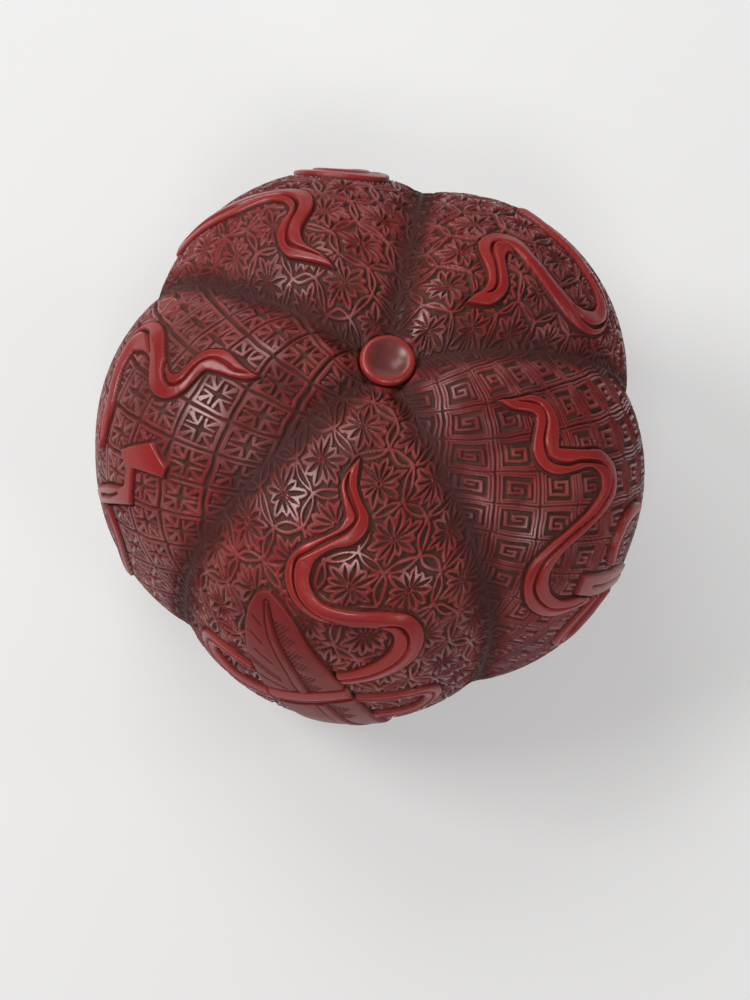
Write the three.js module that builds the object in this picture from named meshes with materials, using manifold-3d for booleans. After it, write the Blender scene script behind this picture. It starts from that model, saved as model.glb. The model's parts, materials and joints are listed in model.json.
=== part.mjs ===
// A carved lacquer box in the form of a five-lobed melon: a domed lid with a dished stem button, over a
// bowl-shaped base with an upright inner lip. Raised ribbons and emblems run over the lobes. Millimetres,
// +Z up, origin on the axis in the plane of the foot. One lobe faces -Y, and the grooves lie between lobes.
import * as THREE from "three";
import { mergeVertices } from "three/addons/utils/BufferGeometryUtils.js";
import Module from "manifold-3d";

const wasm = await Module();
wasm.setup();

// The melon's outer form
const LOBES = 5;
const BODY_RADIUS = 56; // axis to a lobe's crest at the widest level
const GROOVE_DEPTH = 4.9; // how far a groove lies inside the crests at that level
const LID_RISE = 40; // widest level up to the crown, before the stem's hollow is pressed in
const BASE_DROP = 40; // widest level down to the lowest point of the full curve
const LID_FULLNESS = 2.58; // exponent of the lid's section: 2 is an ellipse, more is squarer
const BASE_FULLNESS = 3.04;
const HOLLOW_DEPTH = 7; // the hollow that the stem sits in
const HOLLOW_RADIUS = 11.6;
const CROWN_GROOVE_SINK = 3.9; // how far a groove sinks below the crests on the crown
const CROWN_GROOVE_START = 6.7; // about the radius where the grooves run out beside the stem

// Coats and wall, from the outside in
const CARVED_COAT = 2.4;
const CORE = 2.6;
const LINING = 0.8;
const JOIN_GAP = 0.3; // glue or lacquer line between two pieces

// Seam, lip and foot
const SEAM_BELOW_WIDEST = 6;
const SEAM_GAP = 0.3;
const RIM_BAND = 0.8; // height of the black band on each rim
const LIP_THICKNESS = 1.6;
const LIP_ABOVE_SEAM = 5;
const LIP_BELOW_SEAM = 8;
const FOOT_FLAT_ABOVE_LOWEST = 2.8; // height above the full curve's lowest point where the body is cut flat
const FOOT_HEIGHT = 1.5;
const FOOT_RADIUS = 31.5; // at the crests
const FOOT_BAND = 4;

// Stem button and its dowel
const BUTTON_RADIUS = 5.4;
const BUTTON_NECK_RADIUS = 4.5;
const BUTTON_HEIGHT = 2.2;
const BUTTON_DISH_DEPTH = 1.1;
const BUTTON_RIM = 1;
const BUTTON_BULGE = 0.35; // how far the belly's curve is pulled out beyond the radius
const BUTTON_BELLY_SHARE = 0.35; // share of the height at which the belly turns upright
const BUTTON_DISH_SHARE = 0.55; // share of the radius at which the dish turns flat
const BUTTON_SEAT_MARGIN = 0.4;
const DOWEL_RADIUS = 1.6;
const DOWEL_CLEARANCE = 0.3;
const DOWEL_IN_BUTTON = 0.5;

// Raised ornament
const RIBBON_RISE = 0.65; // height of the ribbons and emblems over the coat
const RIBBON_ROOT = 1.1; // how deep they are rooted in it
const RIBBON_BEVEL = 0.3; // how far their sides lean in
const RIBBON_MOST_LEAN = 0.3; // share of a narrow end's width that a side may lean in
const RIBBON_TIP = 0.3; // half width at a pointed end
const LEAF_GROOVE = 0.3; // depth of the lines beside the leaf's rib
const MIRROR_SINK = 0.35; // depth of the mirror's face inside its rim
const MIRROR_RIM = 1.9;
const MIRROR_FLAT = 0.08; // share of a half turn that is cut straight at each end of the disc
const ORNAMENT_REACH = 5; // margin round the body that is sure to hold all ornament

// Facets
const SEGMENTS_PER_LOBE = 8;
const LID_STEPS = 11; // widest level to crown
const CROWN_CROWDING = 1.6; // shorter steps near the crown, where the hollow is
const BASE_STEPS = 6; // seam to foot
const BUTTON_SEGMENTS = 24;
const RIBBON_STEP = 4.4; // length of a ribbon's facets
const MIRROR_STEPS = 6;

const segments = LOBES * SEGMENTS_PER_LOBE;
const footCut = -(BASE_DROP - FOOT_FLAT_ABOVE_LOWEST); // heights here are from the widest level
const floorOfFoot = footCut - JOIN_GAP - FOOT_HEIGHT;
const coreInset = CARVED_COAT + JOIN_GAP;
const liningInset = coreInset + CORE + JOIN_GAP;
const wall = liningInset + LINING;
const lipInset = wall + JOIN_GAP;
const lidEdge = -SEAM_BELOW_WIDEST + SEAM_GAP / 2;
const baseEdge = -SEAM_BELOW_WIDEST - SEAM_GAP / 2;

const finishes = {
  carvedRed: new THREE.MeshStandardMaterial({ color: 0x8c1f1b, roughness: 0.38, metalness: 0 }),
  polishedRed: new THREE.MeshStandardMaterial({ color: 0xa3231c, roughness: 0.25, metalness: 0 }),
  black: new THREE.MeshStandardMaterial({ color: 0x14110f, roughness: 0.2, metalness: 0 }),
  wood: new THREE.MeshStandardMaterial({ color: 0xa9825a, roughness: 0.7, metalness: 0 }),
};

const riseAt = (height) => (height < 0 ? BASE_DROP : LID_RISE);
const fullnessAt = (height) => (height < 0 ? BASE_FULLNESS : LID_FULLNESS);

// The angle along a section, in radians from the widest level, where a surface set in by inset has a height
function angleAtHeight(inset, height) {
  const share = Math.abs(height) / (riseAt(height) - inset);
  return Math.sign(height) * Math.asin(Math.min(1, share) ** (fullnessAt(height) / 2));
}

// Points of one section, a superellipse quarter above the widest level and another below it. A crowding
// over 1 draws the points together towards the far end.
function section(inset, from, to, steps, crowding = 1) {
  const points = [];
  for (let i = 0; i <= steps; i++) {
    const angle = to - (to - from) * (1 - i / steps) ** crowding;
    const power = 2 / fullnessAt(angle);
    const radius = (BODY_RADIUS - inset) * Math.max(0, Math.cos(angle)) ** power;
    const height = (riseAt(angle) - inset) * Math.sign(angle) * Math.abs(Math.sin(angle)) ** power;
    points.push(new THREE.Vector2(i === steps && to === Math.PI / 2 ? 0 : radius, height));
  }
  return points;
}

// The lobed outline is made of circle arcs that meet at the grooves. Their centres and radii are shares of
// the radius at the crest.
const lobePitch = (2 * Math.PI) / LOBES;
const grooveShare = 1 - GROOVE_DEPTH / BODY_RADIUS;
const lobeCentre = (1 - grooveShare ** 2) / (2 * (1 - grooveShare * Math.cos(lobePitch / 2)));
const lobeArc = 1 - lobeCentre;

// The outline's radius at an angle from a lobe's middle, as such a share too
function outlineShare(angle) {
  const fromMiddle = angle - lobePitch * Math.round(angle / lobePitch);
  const aside = lobeCentre * Math.sin(fromMiddle);
  return lobeCentre * Math.cos(fromMiddle) + Math.sqrt(lobeArc ** 2 - aside ** 2);
}

// Turns a point of a round body into a point of the melon: the outline becomes lobed, the stem's hollow is
// pressed into the crown, and the grooves sink there
function pressIntoMelon(x, y, height) {
  const radius = Math.hypot(x, y);
  const share = outlineShare(Math.atan2(x, -y));
  const depth = (1 - share) / (GROOVE_DEPTH / BODY_RADIUS);
  const crown = Math.max(0, height) / LID_RISE;
  const hollow = HOLLOW_DEPTH * Math.exp(-((radius / HOLLOW_RADIUS) ** 2));
  const groove = CROWN_GROOVE_SINK * depth * (1 - Math.exp(-((radius / CROWN_GROOVE_START) ** 2)));
  return [x * share, y * share, height - crown * (hollow + groove)];
}

// A turned body, its profile given from the widest level, stood upright and set at its height above the foot
function turned(profile, count) {
  return new THREE.LatheGeometry(profile, count).rotateX(Math.PI / 2);
}

function toSolid(geometry) {
  geometry.deleteAttribute("normal");
  geometry.deleteAttribute("uv");
  const merged = mergeVertices(geometry, 1e-4);
  const index = merged.index.array;
  const kept = [];
  for (let i = 0; i < index.length; i += 3) {
    const [a, b, c] = [index[i], index[i + 1], index[i + 2]];
    if (a !== b && b !== c && c !== a) kept.push(a, b, c);
  }
  return new wasm.Manifold(
    new wasm.Mesh({
      numProp: 3,
      vertProperties: merged.attributes.position.array,
      triVerts: Uint32Array.from(kept),
    }),
  );
}

function toGeometry(solid) {
  const mesh = solid.getMesh();
  return new THREE.BufferGeometry()
    .setAttribute("position", new THREE.BufferAttribute(mesh.vertProperties, 3))
    .setIndex(new THREE.BufferAttribute(mesh.triVerts, 1))
    .toNonIndexed();
}

// A lobed solid from a round profile
function lobed(profile) {
  const geometry = turned(profile, segments);
  const position = geometry.attributes.position;
  for (let i = 0; i < position.count; i++) {
    const place = pressIntoMelon(position.getX(i), position.getY(i), position.getZ(i));
    position.setXYZ(i, ...place);
  }
  return toSolid(geometry);
}

const crownAngle = Math.PI / 2;

// A domed layer of the lid between two insets, open downwards, with its edge at a height
function lidLayer(outerInset, innerInset, edge) {
  const side = (inset) => {
    const below = section(inset, angleAtHeight(inset, edge), 0, 1);
    return [...below.slice(0, -1), ...section(inset, 0, crownAngle, LID_STEPS, CROWN_CROWDING)];
  };
  return lobed([...side(innerInset).reverse(), ...side(outerInset)]);
}

// A bowl-shaped layer of the base with a flat floor that is as thick as its wall
function baseLayer(outerInset, innerInset, edge) {
  const side = (inset) => {
    const bottom = angleAtHeight(inset, footCut + inset);
    const points = section(inset, bottom, angleAtHeight(inset, edge), BASE_STEPS);
    return [new THREE.Vector2(0, footCut + inset), ...points];
  };
  return lobed([...side(outerInset), ...side(innerInset).reverse()]);
}

// A ring that follows the wall between two insets and two heights
function wallRing(outerInset, innerInset, low, high) {
  const side = (inset) => section(inset, angleAtHeight(inset, low), angleAtHeight(inset, high), 1);
  const [outer, inner] = [side(outerInset), side(innerInset)];
  return lobed([...outer, ...inner.reverse(), outer[0].clone()]);
}

// The base's carved coat is open under the foot, where the foot ring and panel meet the core
function baseCoat() {
  const outer = section(0, angleAtHeight(0, footCut), angleAtHeight(0, baseEdge), BASE_STEPS);
  const inner = section(
    CARVED_COAT,
    angleAtHeight(CARVED_COAT, footCut + CARVED_COAT),
    angleAtHeight(CARVED_COAT, baseEdge),
    BASE_STEPS,
  );
  const opening = FOOT_RADIUS - FOOT_BAND / 2;
  const floor = [
    new THREE.Vector2(opening, footCut + CARVED_COAT),
    new THREE.Vector2(opening, footCut),
  ];
  const coat = lobed([...outer, ...inner.reverse(), ...floor, outer[0].clone()]);
  return withOrnament(coat, footCut, baseEdge);
}

// A flat lobed disc or ring, its radii given at the crests
function flatPiece(outerRadius, innerRadius, low, high) {
  const corner = (radius, height) => new THREE.Vector2(radius, height);
  const outside = [corner(outerRadius, low), corner(outerRadius, high)];
  if (innerRadius === 0) return lobed([corner(0, low), ...outside, corner(0, high)]);
  const inside = [corner(innerRadius, high), corner(innerRadius, low)];
  return lobed([...outside, ...inside, corner(outerRadius, low)]);
}

function upright(radius, low, high) {
  const geometry = new THREE.CylinderGeometry(radius, radius, high - low, BUTTON_SEGMENTS);
  return toSolid(geometry.rotateX(Math.PI / 2).translate(0, 0, (low + high) / 2));
}

// Heights on the axis
const seatHeight = LID_RISE - HOLLOW_DEPTH;
const buttonBottom = seatHeight + JOIN_GAP;
const dowelTop = buttonBottom + DOWEL_IN_BUTTON;
const pressedAt = (inset) => (LID_RISE - inset) * (1 - HOLLOW_DEPTH / LID_RISE);
const dowelBottom = pressedAt(liningInset) + JOIN_GAP;

// Distance down a lobe's crest from the crown, against the angle of the section
const CREST_SAMPLES = 600;
const lowestAngle = angleAtHeight(0, footCut);
const crest = section(0, lowestAngle, crownAngle, CREST_SAMPLES).map((point, i) => ({
  angle: lowestAngle + ((crownAngle - lowestAngle) * i) / CREST_SAMPLES,
  place: new THREE.Vector3(...pressIntoMelon(0, -point.x, point.y)),
}));
crest[CREST_SAMPLES].down = 0;
for (let i = CREST_SAMPLES - 1; i >= 0; i--) {
  crest[i].down = crest[i + 1].down + crest[i].place.distanceTo(crest[i + 1].place);
}

function angleAtDown(down) {
  const i = crest.findIndex((sample) => sample.down <= down);
  const [low, high] = [crest[Math.max(0, i - 1)], crest[Math.max(1, i)]];
  return low.angle + ((high.angle - low.angle) * (low.down - down)) / (low.down - high.down);
}

// A place on the melon, at a distance across a lobe from its crest and down it from the crown
function surfacePoint(lobe, across, down) {
  const [point] = section(0, angleAtDown(down), crownAngle, 1);
  const bend = across / (point.x * lobeArc);
  const aside = Math.atan2(lobeArc * Math.sin(bend), lobeCentre + lobeArc * Math.cos(bend));
  const turn = lobe * lobePitch + aside;
  return new THREE.Vector3(...pressIntoMelon(point.x * Math.sin(turn), -point.x * Math.cos(turn), point.y));
}

function liftedPoint(lobe, across, down, lift) {
  const small = 0.05;
  const place = surfacePoint(lobe, across, down);
  const along = surfacePoint(lobe, across, down + small).sub(place);
  const aside = surfacePoint(lobe, across + small, down).sub(place);
  return place.add(along.cross(aside).normalize().multiplyScalar(lift));
}

// A raised strip on a lobe between a left and a right edge, given as pairs of points in order along it. The
// profile holds pairs: a place from 0 at the left edge to 1 at the right, and the height there.
function raisedStrip(lobe, edges, profile, root = -RIBBON_ROOT) {
  const rows = edges.map(([left, right]) => {
    const width = left.distanceTo(right);
    const lean = Math.min(RIBBON_MOST_LEAN, RIBBON_BEVEL / width);
    const leaned = (share) => left.clone().lerp(right, lean + (1 - 2 * lean) * share);
    const top = profile.map(([share, lift]) => liftedPoint(lobe, ...leaned(share), lift));
    const under = profile.map(([share]) => liftedPoint(lobe, ...left.clone().lerp(right, share), root));
    return [...top, ...under.reverse()];
  });
  const around = rows[0].length;
  const index = [];
  for (let row = 0; row < rows.length - 1; row++) {
    for (let i = 0; i < around; i++) {
      const [a, b] = [row * around + i, row * around + ((i + 1) % around)];
      index.push(a, a + around, b, b, a + around, b + around);
    }
  }
  const last = (rows.length - 1) * around;
  for (let i = 0; i < around / 2 - 1; i++) {
    const [a, b, c, d] = [i, i + 1, around - 2 - i, around - 1 - i];
    index.push(a, b, d, b, c, d);
    index.push(last + a, last + d, last + b, last + b, last + d, last + c);
  }
  const geometry = new THREE.BufferGeometry().setFromPoints(rows.flat());
  return toSolid(geometry.setIndex(index));
}

const flatTop = [
  [0, RIBBON_RISE],
  [1, RIBBON_RISE],
];

// A ribbon through points that each give a place across the lobe, one down it and a half width
function ribbon(lobe, points) {
  const knots = points.map((point) => new THREE.Vector3(...point));
  const curve = new THREE.CatmullRomCurve3(knots, false, "catmullrom");
  const steps = Math.ceil(curve.getLength() / RIBBON_STEP);
  const edges = curve.getSpacedPoints(steps).map((place, i) => {
    const way = curve.getTangentAt(i / steps);
    const half = Math.max(RIBBON_TIP, place.z);
    const aside = new THREE.Vector2(-way.y, way.x).setLength(half);
    const middle = new THREE.Vector2(place.x, place.y);
    return [middle.clone().add(aside), middle.clone().sub(aside)];
  });
  return raisedStrip(lobe, edges, flatTop);
}

// A plate between two edges of as many corners
function plate(lobe, left, right, profile) {
  const edges = left.map((point, i) => [new THREE.Vector2(...point), new THREE.Vector2(...right[i])]);
  return raisedStrip(lobe, edges, profile);
}

const plateTop = [
  [0, RIBBON_RISE],
  [0.5, RIBBON_RISE],
  [1, RIBBON_RISE],
];

const leafTop = [
  [0, RIBBON_RISE],
  [0.43, RIBBON_RISE - LEAF_GROOVE],
  [0.5, RIBBON_RISE],
  [0.57, RIBBON_RISE - LEAF_GROOVE],
  [1, RIBBON_RISE],
];

// A round mirror with a raised rim
function mirror(lobe, across, down, radius) {
  const disc = (reach, top, root) => {
    const edges = [];
    for (let i = 0; i <= MIRROR_STEPS; i++) {
      const angle = Math.PI * (MIRROR_FLAT + ((1 - 2 * MIRROR_FLAT) * i) / MIRROR_STEPS);
      const [half, along] = [reach * Math.sin(angle), down - reach * Math.cos(angle)];
      edges.push([new THREE.Vector2(across - half, along), new THREE.Vector2(across + half, along)]);
    }
    const profile = plateTop.map(([share]) => [share, top]);
    return raisedStrip(lobe, edges, profile, root);
  };
  const hollow = disc(radius - MIRROR_RIM, RIBBON_RISE + RIBBON_ROOT, RIBBON_RISE - MIRROR_SINK);
  return disc(radius, RIBBON_RISE, -RIBBON_ROOT).subtract(hollow);
}

// The ornament of each lobe, from the front lobe round to the left one
const ornament = [
  [
    ribbon(0, [
      [-1.4, 24, 0],
      [-2.3, 29.5, 1.4],
      [0.3, 36, 2.2],
      [-0.8, 39.4, 2.6],
      [-7.2, 44.3, 2.5],
      [-9.3, 49.6, 2.7],
      [-5.6, 54.4, 2.2],
      [0, 55.4, 1.8],
      [7, 55.3, 1.8],
      [12.6, 56.6, 2.4],
      [15, 60.7, 3],
      [13.2, 65.6, 3.2],
      [8.6, 70.2, 2.4],
      [-1.5, 73.4, 1.6],
    ]),
    ribbon(0, [
      [-13, 80.4, 1.2],
      [-20.5, 81, 1.5],
      [-25.2, 83.2, 2],
      [-25.2, 87.2, 2.2],
      [-18.6, 91.2, 2.4],
      [-10.5, 89.6, 2.3],
    ]),
    ribbon(0, [
      [5, 80.6, 1.2],
      [13, 80.8, 1.4],
      [20.2, 81.6, 1.7],
      [22.6, 85.6, 1.9],
      [19.6, 90.4, 1.9],
      [12, 90.6, 1.4],
    ]),
    plate(
      0,
      [
        [-14.2, 55.4],
        [-16.6, 59],
        [-17.2, 64.5],
        [-16.4, 71.5],
        [-14.6, 77.8],
        [-11.6, 84.7],
        [-7.9, 91],
        [-1.5, 99],
        [7, 105.5],
        [13.6, 108],
      ],
      [
        [-12.6, 55.4],
        [-9, 57.9],
        [-4.5, 62.8],
        [-0.8, 67.6],
        [2.7, 72.6],
        [6.7, 80.3],
        [9.8, 88],
        [12.2, 95],
        [14.2, 102],
        [14.8, 106.6],
      ],
      leafTop,
    ),
    ribbon(0, [
      [-9.9, 87.6, 2.2],
      [-1.6, 83.4, 2.2],
      [6.6, 77.4, 2],
    ]),
  ],
  [
    ribbon(1, [
      [1.2, 24, 0],
      [4.4, 28.6, 1.6],
      [5.2, 32, 2.4],
      [2.6, 35.3, 3],
      [-2, 37.5, 3.2],
      [-1.6, 41, 3],
      [2.4, 45.4, 3],
      [4.7, 49.6, 2.7],
      [2.6, 53, 2.5],
      [-4.1, 53.8, 2],
      [-12.4, 53.2, 1.9],
      [-18.8, 55.2, 2.2],
      [-22.5, 59.4, 2.7],
      [-22.4, 64.4, 2.8],
      [-19.6, 69.4, 2.5],
      [-14, 72.4, 2],
    ]),
    ribbon(1, [
      [-10, 75.8, 1.3],
      [-14, 79, 1.6],
      [-17.4, 84, 1.6],
      [-17.4, 88, 1.4],
      [-14, 87.6, 1.2],
      [-5, 81.5, 1.3],
    ]),
    ribbon(1, [
      [-14.4, 65.4, 2.5],
      [-8.8, 72.5, 2.9],
      [0.3, 83.3, 2],
    ]),
    ribbon(1, [
      [7, 66.2, 0.8],
      [1.2, 62.6, 1.5],
      [-5.5, 67.6, 0.9],
    ]),
  ],
  [
    ribbon(2, [
      [-2.1, 19.2, 0],
      [-3.8, 24, 1.6],
      [-3, 28.6, 2.4],
      [1.6, 31.6, 2.8],
      [4.6, 35, 3.1],
      [3.2, 37.9, 2.6],
      [-3, 38, 1.9],
      [-10.2, 38.7, 1.7],
      [-17, 41.8, 1.7],
      [-20.6, 46, 2],
      [-21.1, 50.2, 2.2],
      [-18.4, 53.2, 2.1],
      [-13, 53.8, 1.8],
      [-6, 53, 1.5],
      [2, 52, 1.4],
      [9, 53.5, 1.5],
    ]),
  ],
  [
    ribbon(3, [
      [2, 21.7, 0],
      [4.5, 26, 1.3],
      [6.6, 30.6, 2.4],
      [6.2, 34.4, 2.9],
      [2.3, 37.4, 2.5],
      [-0.3, 41.3, 2.8],
      [1.5, 45, 2.4],
      [5.4, 48.8, 2.1],
      [11.1, 53, 2.4],
      [18.5, 61.4, 2.4],
      [22, 67, 2],
    ]),
    mirror(3, -14.5, 58, 9.5),
  ],
  [
    ribbon(4, [
      [2.7, 26.4, 0],
      [0, 31.6, 1.9],
      [-3, 35.2, 2.7],
      [-2.8, 38.2, 2.5],
      [-0.4, 41.2, 2.5],
      [-0.2, 44.6, 2.8],
      [-2.8, 46.8, 2.3],
      [-8, 47.3, 1.4],
      [-14.2, 49.4, 1.6],
      [-17.2, 53.4, 2.3],
      [-15.6, 57.4, 2.1],
      [-9, 60.3, 1.6],
      [-3, 61.8, 1.6],
      [4, 65.5, 1.5],
    ]),
    ribbon(4, [
      [9.5, 77, 1.4],
      [14.4, 81.6, 1.8],
      [16.8, 88, 1.8],
      [18, 95, 1.5],
    ]),
    plate(
      4,
      [
        [6.7, 59.1],
        [12.2, 58.6],
        [16.2, 54.4],
      ],
      [
        [8.8, 51.8],
        [14.6, 51.3],
        [16.6, 53.2],
      ],
      plateTop,
    ),
    plate(
      4,
      [
        [9.6, 60.4],
        [9.6, 66],
        [8, 73],
        [5.4, 82],
      ],
      [
        [11.5, 59.4],
        [16.4, 64.6],
        [12.6, 73],
        [7.8, 83],
      ],
      plateTop,
    ),
  ],
].flat();

// Adds the part of the ornament that lies between two heights
function withOrnament(coat, low, high) {
  const level = upright(BODY_RADIUS + ORNAMENT_REACH, low, high);
  return ornament.reduce((solid, raised) => solid.add(raised.intersect(level)), coat);
}

function stemBore(solid) {
  const bore = upright(DOWEL_RADIUS + DOWEL_CLEARANCE, 0, BODY_RADIUS + LID_RISE);
  return solid.subtract(bore);
}

function lidCoat() {
  const seat = upright(BUTTON_RADIUS + BUTTON_SEAT_MARGIN, seatHeight, seatHeight + BODY_RADIUS);
  const coat = stemBore(lidLayer(0, CARVED_COAT, lidEdge)).subtract(seat);
  return withOrnament(coat, lidEdge, LID_RISE + ORNAMENT_REACH);
}

// A dished button with a rolled rim, turned in one piece, with a blind hole for the dowel
function stemButton() {
  const top = buttonBottom + BUTTON_HEIGHT;
  const belly = new THREE.CubicBezierCurve(
    new THREE.Vector2(BUTTON_NECK_RADIUS, buttonBottom),
    new THREE.Vector2(BUTTON_RADIUS + BUTTON_BULGE, buttonBottom + BUTTON_HEIGHT * BUTTON_BELLY_SHARE),
    new THREE.Vector2(BUTTON_RADIUS + BUTTON_BULGE, top),
    new THREE.Vector2(BUTTON_RADIUS - BUTTON_RIM, top),
  ).getPoints(6);
  const dish = new THREE.QuadraticBezierCurve(
    new THREE.Vector2(BUTTON_RADIUS - BUTTON_RIM, top),
    new THREE.Vector2(BUTTON_RADIUS * BUTTON_DISH_SHARE, top - BUTTON_DISH_DEPTH),
    new THREE.Vector2(0, top - BUTTON_DISH_DEPTH),
  ).getPoints(4);
  const profile = [new THREE.Vector2(0, buttonBottom), ...belly, ...dish.slice(1)];
  const socket = upright(DOWEL_RADIUS + DOWEL_CLEARANCE, seatHeight, dowelTop + JOIN_GAP);
  return toSolid(turned(profile, BUTTON_SEGMENTS)).subtract(socket);
}

const lidCoreEdge = lidEdge + RIM_BAND + JOIN_GAP;
const baseCoreEdge = baseEdge - RIM_BAND - JOIN_GAP;

const pieces = [
  ["lid_carved_coat", lidCoat(), finishes.carvedRed],
  ["lid_core", stemBore(lidLayer(coreInset, coreInset + CORE, lidCoreEdge)), finishes.wood],
  ["lid_lining", lidLayer(liningInset, wall, lidCoreEdge), finishes.black],
  ["lid_rim_band", wallRing(coreInset, wall, lidEdge, lidEdge + RIM_BAND), finishes.black],
  ["stem_button", stemButton(), finishes.polishedRed],
  ["stem_dowel", upright(DOWEL_RADIUS, dowelBottom, dowelTop), finishes.wood],
  ["base_carved_coat", baseCoat(), finishes.carvedRed],
  ["base_core", baseLayer(coreInset, coreInset + CORE, baseCoreEdge), finishes.wood],
  ["base_lining", baseLayer(liningInset, wall, baseCoreEdge), finishes.black],
  ["base_rim_band", wallRing(coreInset, wall, baseEdge - RIM_BAND, baseEdge), finishes.black],
  [
    "base_lip",
    wallRing(
      lipInset,
      lipInset + LIP_THICKNESS,
      -SEAM_BELOW_WIDEST - LIP_BELOW_SEAM,
      -SEAM_BELOW_WIDEST + LIP_ABOVE_SEAM,
    ),
    finishes.black,
  ],
  [
    "foot_ring",
    flatPiece(FOOT_RADIUS, FOOT_RADIUS - FOOT_BAND, floorOfFoot, footCut - JOIN_GAP),
    finishes.black,
  ],
  [
    "foot_panel",
    flatPiece(FOOT_RADIUS - FOOT_BAND - JOIN_GAP, 0, floorOfFoot, footCut + coreInset - JOIN_GAP),
    finishes.black,
  ],
];

const box = new THREE.Group();
for (const [name, solid, finish] of pieces) {
  const mesh = new THREE.Mesh(toGeometry(solid), finish);
  mesh.name = name;
  mesh.position.z = -floorOfFoot;
  box.add(mesh);
}

export default box;
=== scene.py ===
import json
import math

import bpy
import numpy as np
from mathutils import Matrix, Vector


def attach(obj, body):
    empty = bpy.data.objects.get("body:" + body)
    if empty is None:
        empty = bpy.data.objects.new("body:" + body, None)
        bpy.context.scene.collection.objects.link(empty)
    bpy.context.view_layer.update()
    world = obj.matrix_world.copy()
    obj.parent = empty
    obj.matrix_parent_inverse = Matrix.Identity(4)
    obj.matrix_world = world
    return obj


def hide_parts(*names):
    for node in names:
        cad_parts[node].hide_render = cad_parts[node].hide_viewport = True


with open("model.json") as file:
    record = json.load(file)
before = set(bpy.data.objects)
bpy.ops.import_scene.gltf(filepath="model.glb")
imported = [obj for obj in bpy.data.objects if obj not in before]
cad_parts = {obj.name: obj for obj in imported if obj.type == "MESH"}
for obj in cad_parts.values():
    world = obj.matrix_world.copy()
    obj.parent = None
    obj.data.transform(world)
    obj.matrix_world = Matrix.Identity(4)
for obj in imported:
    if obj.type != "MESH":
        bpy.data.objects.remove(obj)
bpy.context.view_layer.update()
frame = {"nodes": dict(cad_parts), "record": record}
mm = 0.001
print("frame loaded")

# The melon's form, as in the solids: millimetres, heights from the widest level
melon = {
    "lobes": 5,
    "crestRadius": 56,
    "grooveDepth": 4.9,
    "lidRise": 40,
    "baseDrop": 40,
    "lidFullness": 2.58,
    "baseFullness": 3.04,
    "hollowDepth": 7,
    "hollowRadius": 11.6,
    "crownGrooveSink": 3.9,
    "crownGrooveStart": 6.7,
    "widestAboveFoot": 39,
    "seam": -6,
    "footCut": -37.2,
}

lobePitch = 2 * math.pi / melon["lobes"]
grooveShare = 1 - melon["grooveDepth"] / melon["crestRadius"]
arcCentre = (1 - grooveShare ** 2) / (2 * (1 - grooveShare * math.cos(lobePitch / 2)))
arcRadius = 1 - arcCentre


def outlineShare(turn):
    fromMiddle = turn - lobePitch * np.round(turn / lobePitch)
    return arcCentre * np.cos(fromMiddle) + np.sqrt(arcRadius ** 2 - (arcCentre * np.sin(fromMiddle)) ** 2)


def section(angle, inset=0):
    power = 2 / np.where(angle < 0, melon["baseFullness"], melon["lidFullness"])
    rise = np.where(angle < 0, melon["baseDrop"], melon["lidRise"]) - inset
    radius = (melon["crestRadius"] - inset) * np.clip(np.cos(angle), 0, None) ** power
    return radius, rise * np.sign(angle) * np.abs(np.sin(angle)) ** power


def angleAtHeight(height, inset=0):
    rise, fullness = melon["lidRise"], melon["lidFullness"]
    if height < 0:
        rise, fullness = melon["baseDrop"], melon["baseFullness"]
    return math.copysign(math.asin(min(1, abs(height) / (rise - inset)) ** (fullness / 2)), height)


# Turns a point of a round profile into a point of the melon; turn is measured from the front lobe's middle
def melonPoint(turn, radius, height):
    share = outlineShare(turn)
    depth = (1 - share) / (1 - grooveShare)
    hollow = melon["hollowDepth"] * np.exp(-(radius / melon["hollowRadius"]) ** 2)
    sink = melon["crownGrooveSink"] * depth * (1 - np.exp(-(radius / melon["crownGrooveStart"]) ** 2))
    pressed = height - np.clip(height, 0, None) / melon["lidRise"] * (hollow + sink)
    way = turn - math.pi / 2
    return np.stack(
        [radius * share * np.cos(way), radius * share * np.sin(way), pressed + melon["widestAboveFoot"]], -1
    )


def onMelon(turn, angle):
    return melonPoint(turn, *section(angle))


# Distance down a lobe's crest from the crown, against the angle of the section
crestAngles = np.linspace(-1.5, math.pi / 2, 20001)
crestPoints = onMelon(np.zeros_like(crestAngles), crestAngles)
crestSteps = np.linalg.norm(np.diff(crestPoints, axis=0), axis=1)
crestDown = np.concatenate([[0], np.cumsum(crestSteps)])
crestDown = crestDown[-1] - crestDown


def angleAtDown(down):
    return np.interp(down, crestDown[::-1], crestAngles[::-1])


def downAtAngle(angle):
    return np.interp(angle, crestAngles, crestDown)


def acrossAt(turn, angle):
    fromMiddle = turn - lobePitch * np.round(turn / lobePitch)
    bend = np.arcsin(np.clip(outlineShare(turn) * np.sin(fromMiddle) / arcRadius, -1, 1))
    return section(angle)[0] * arcRadius * bend


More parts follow.
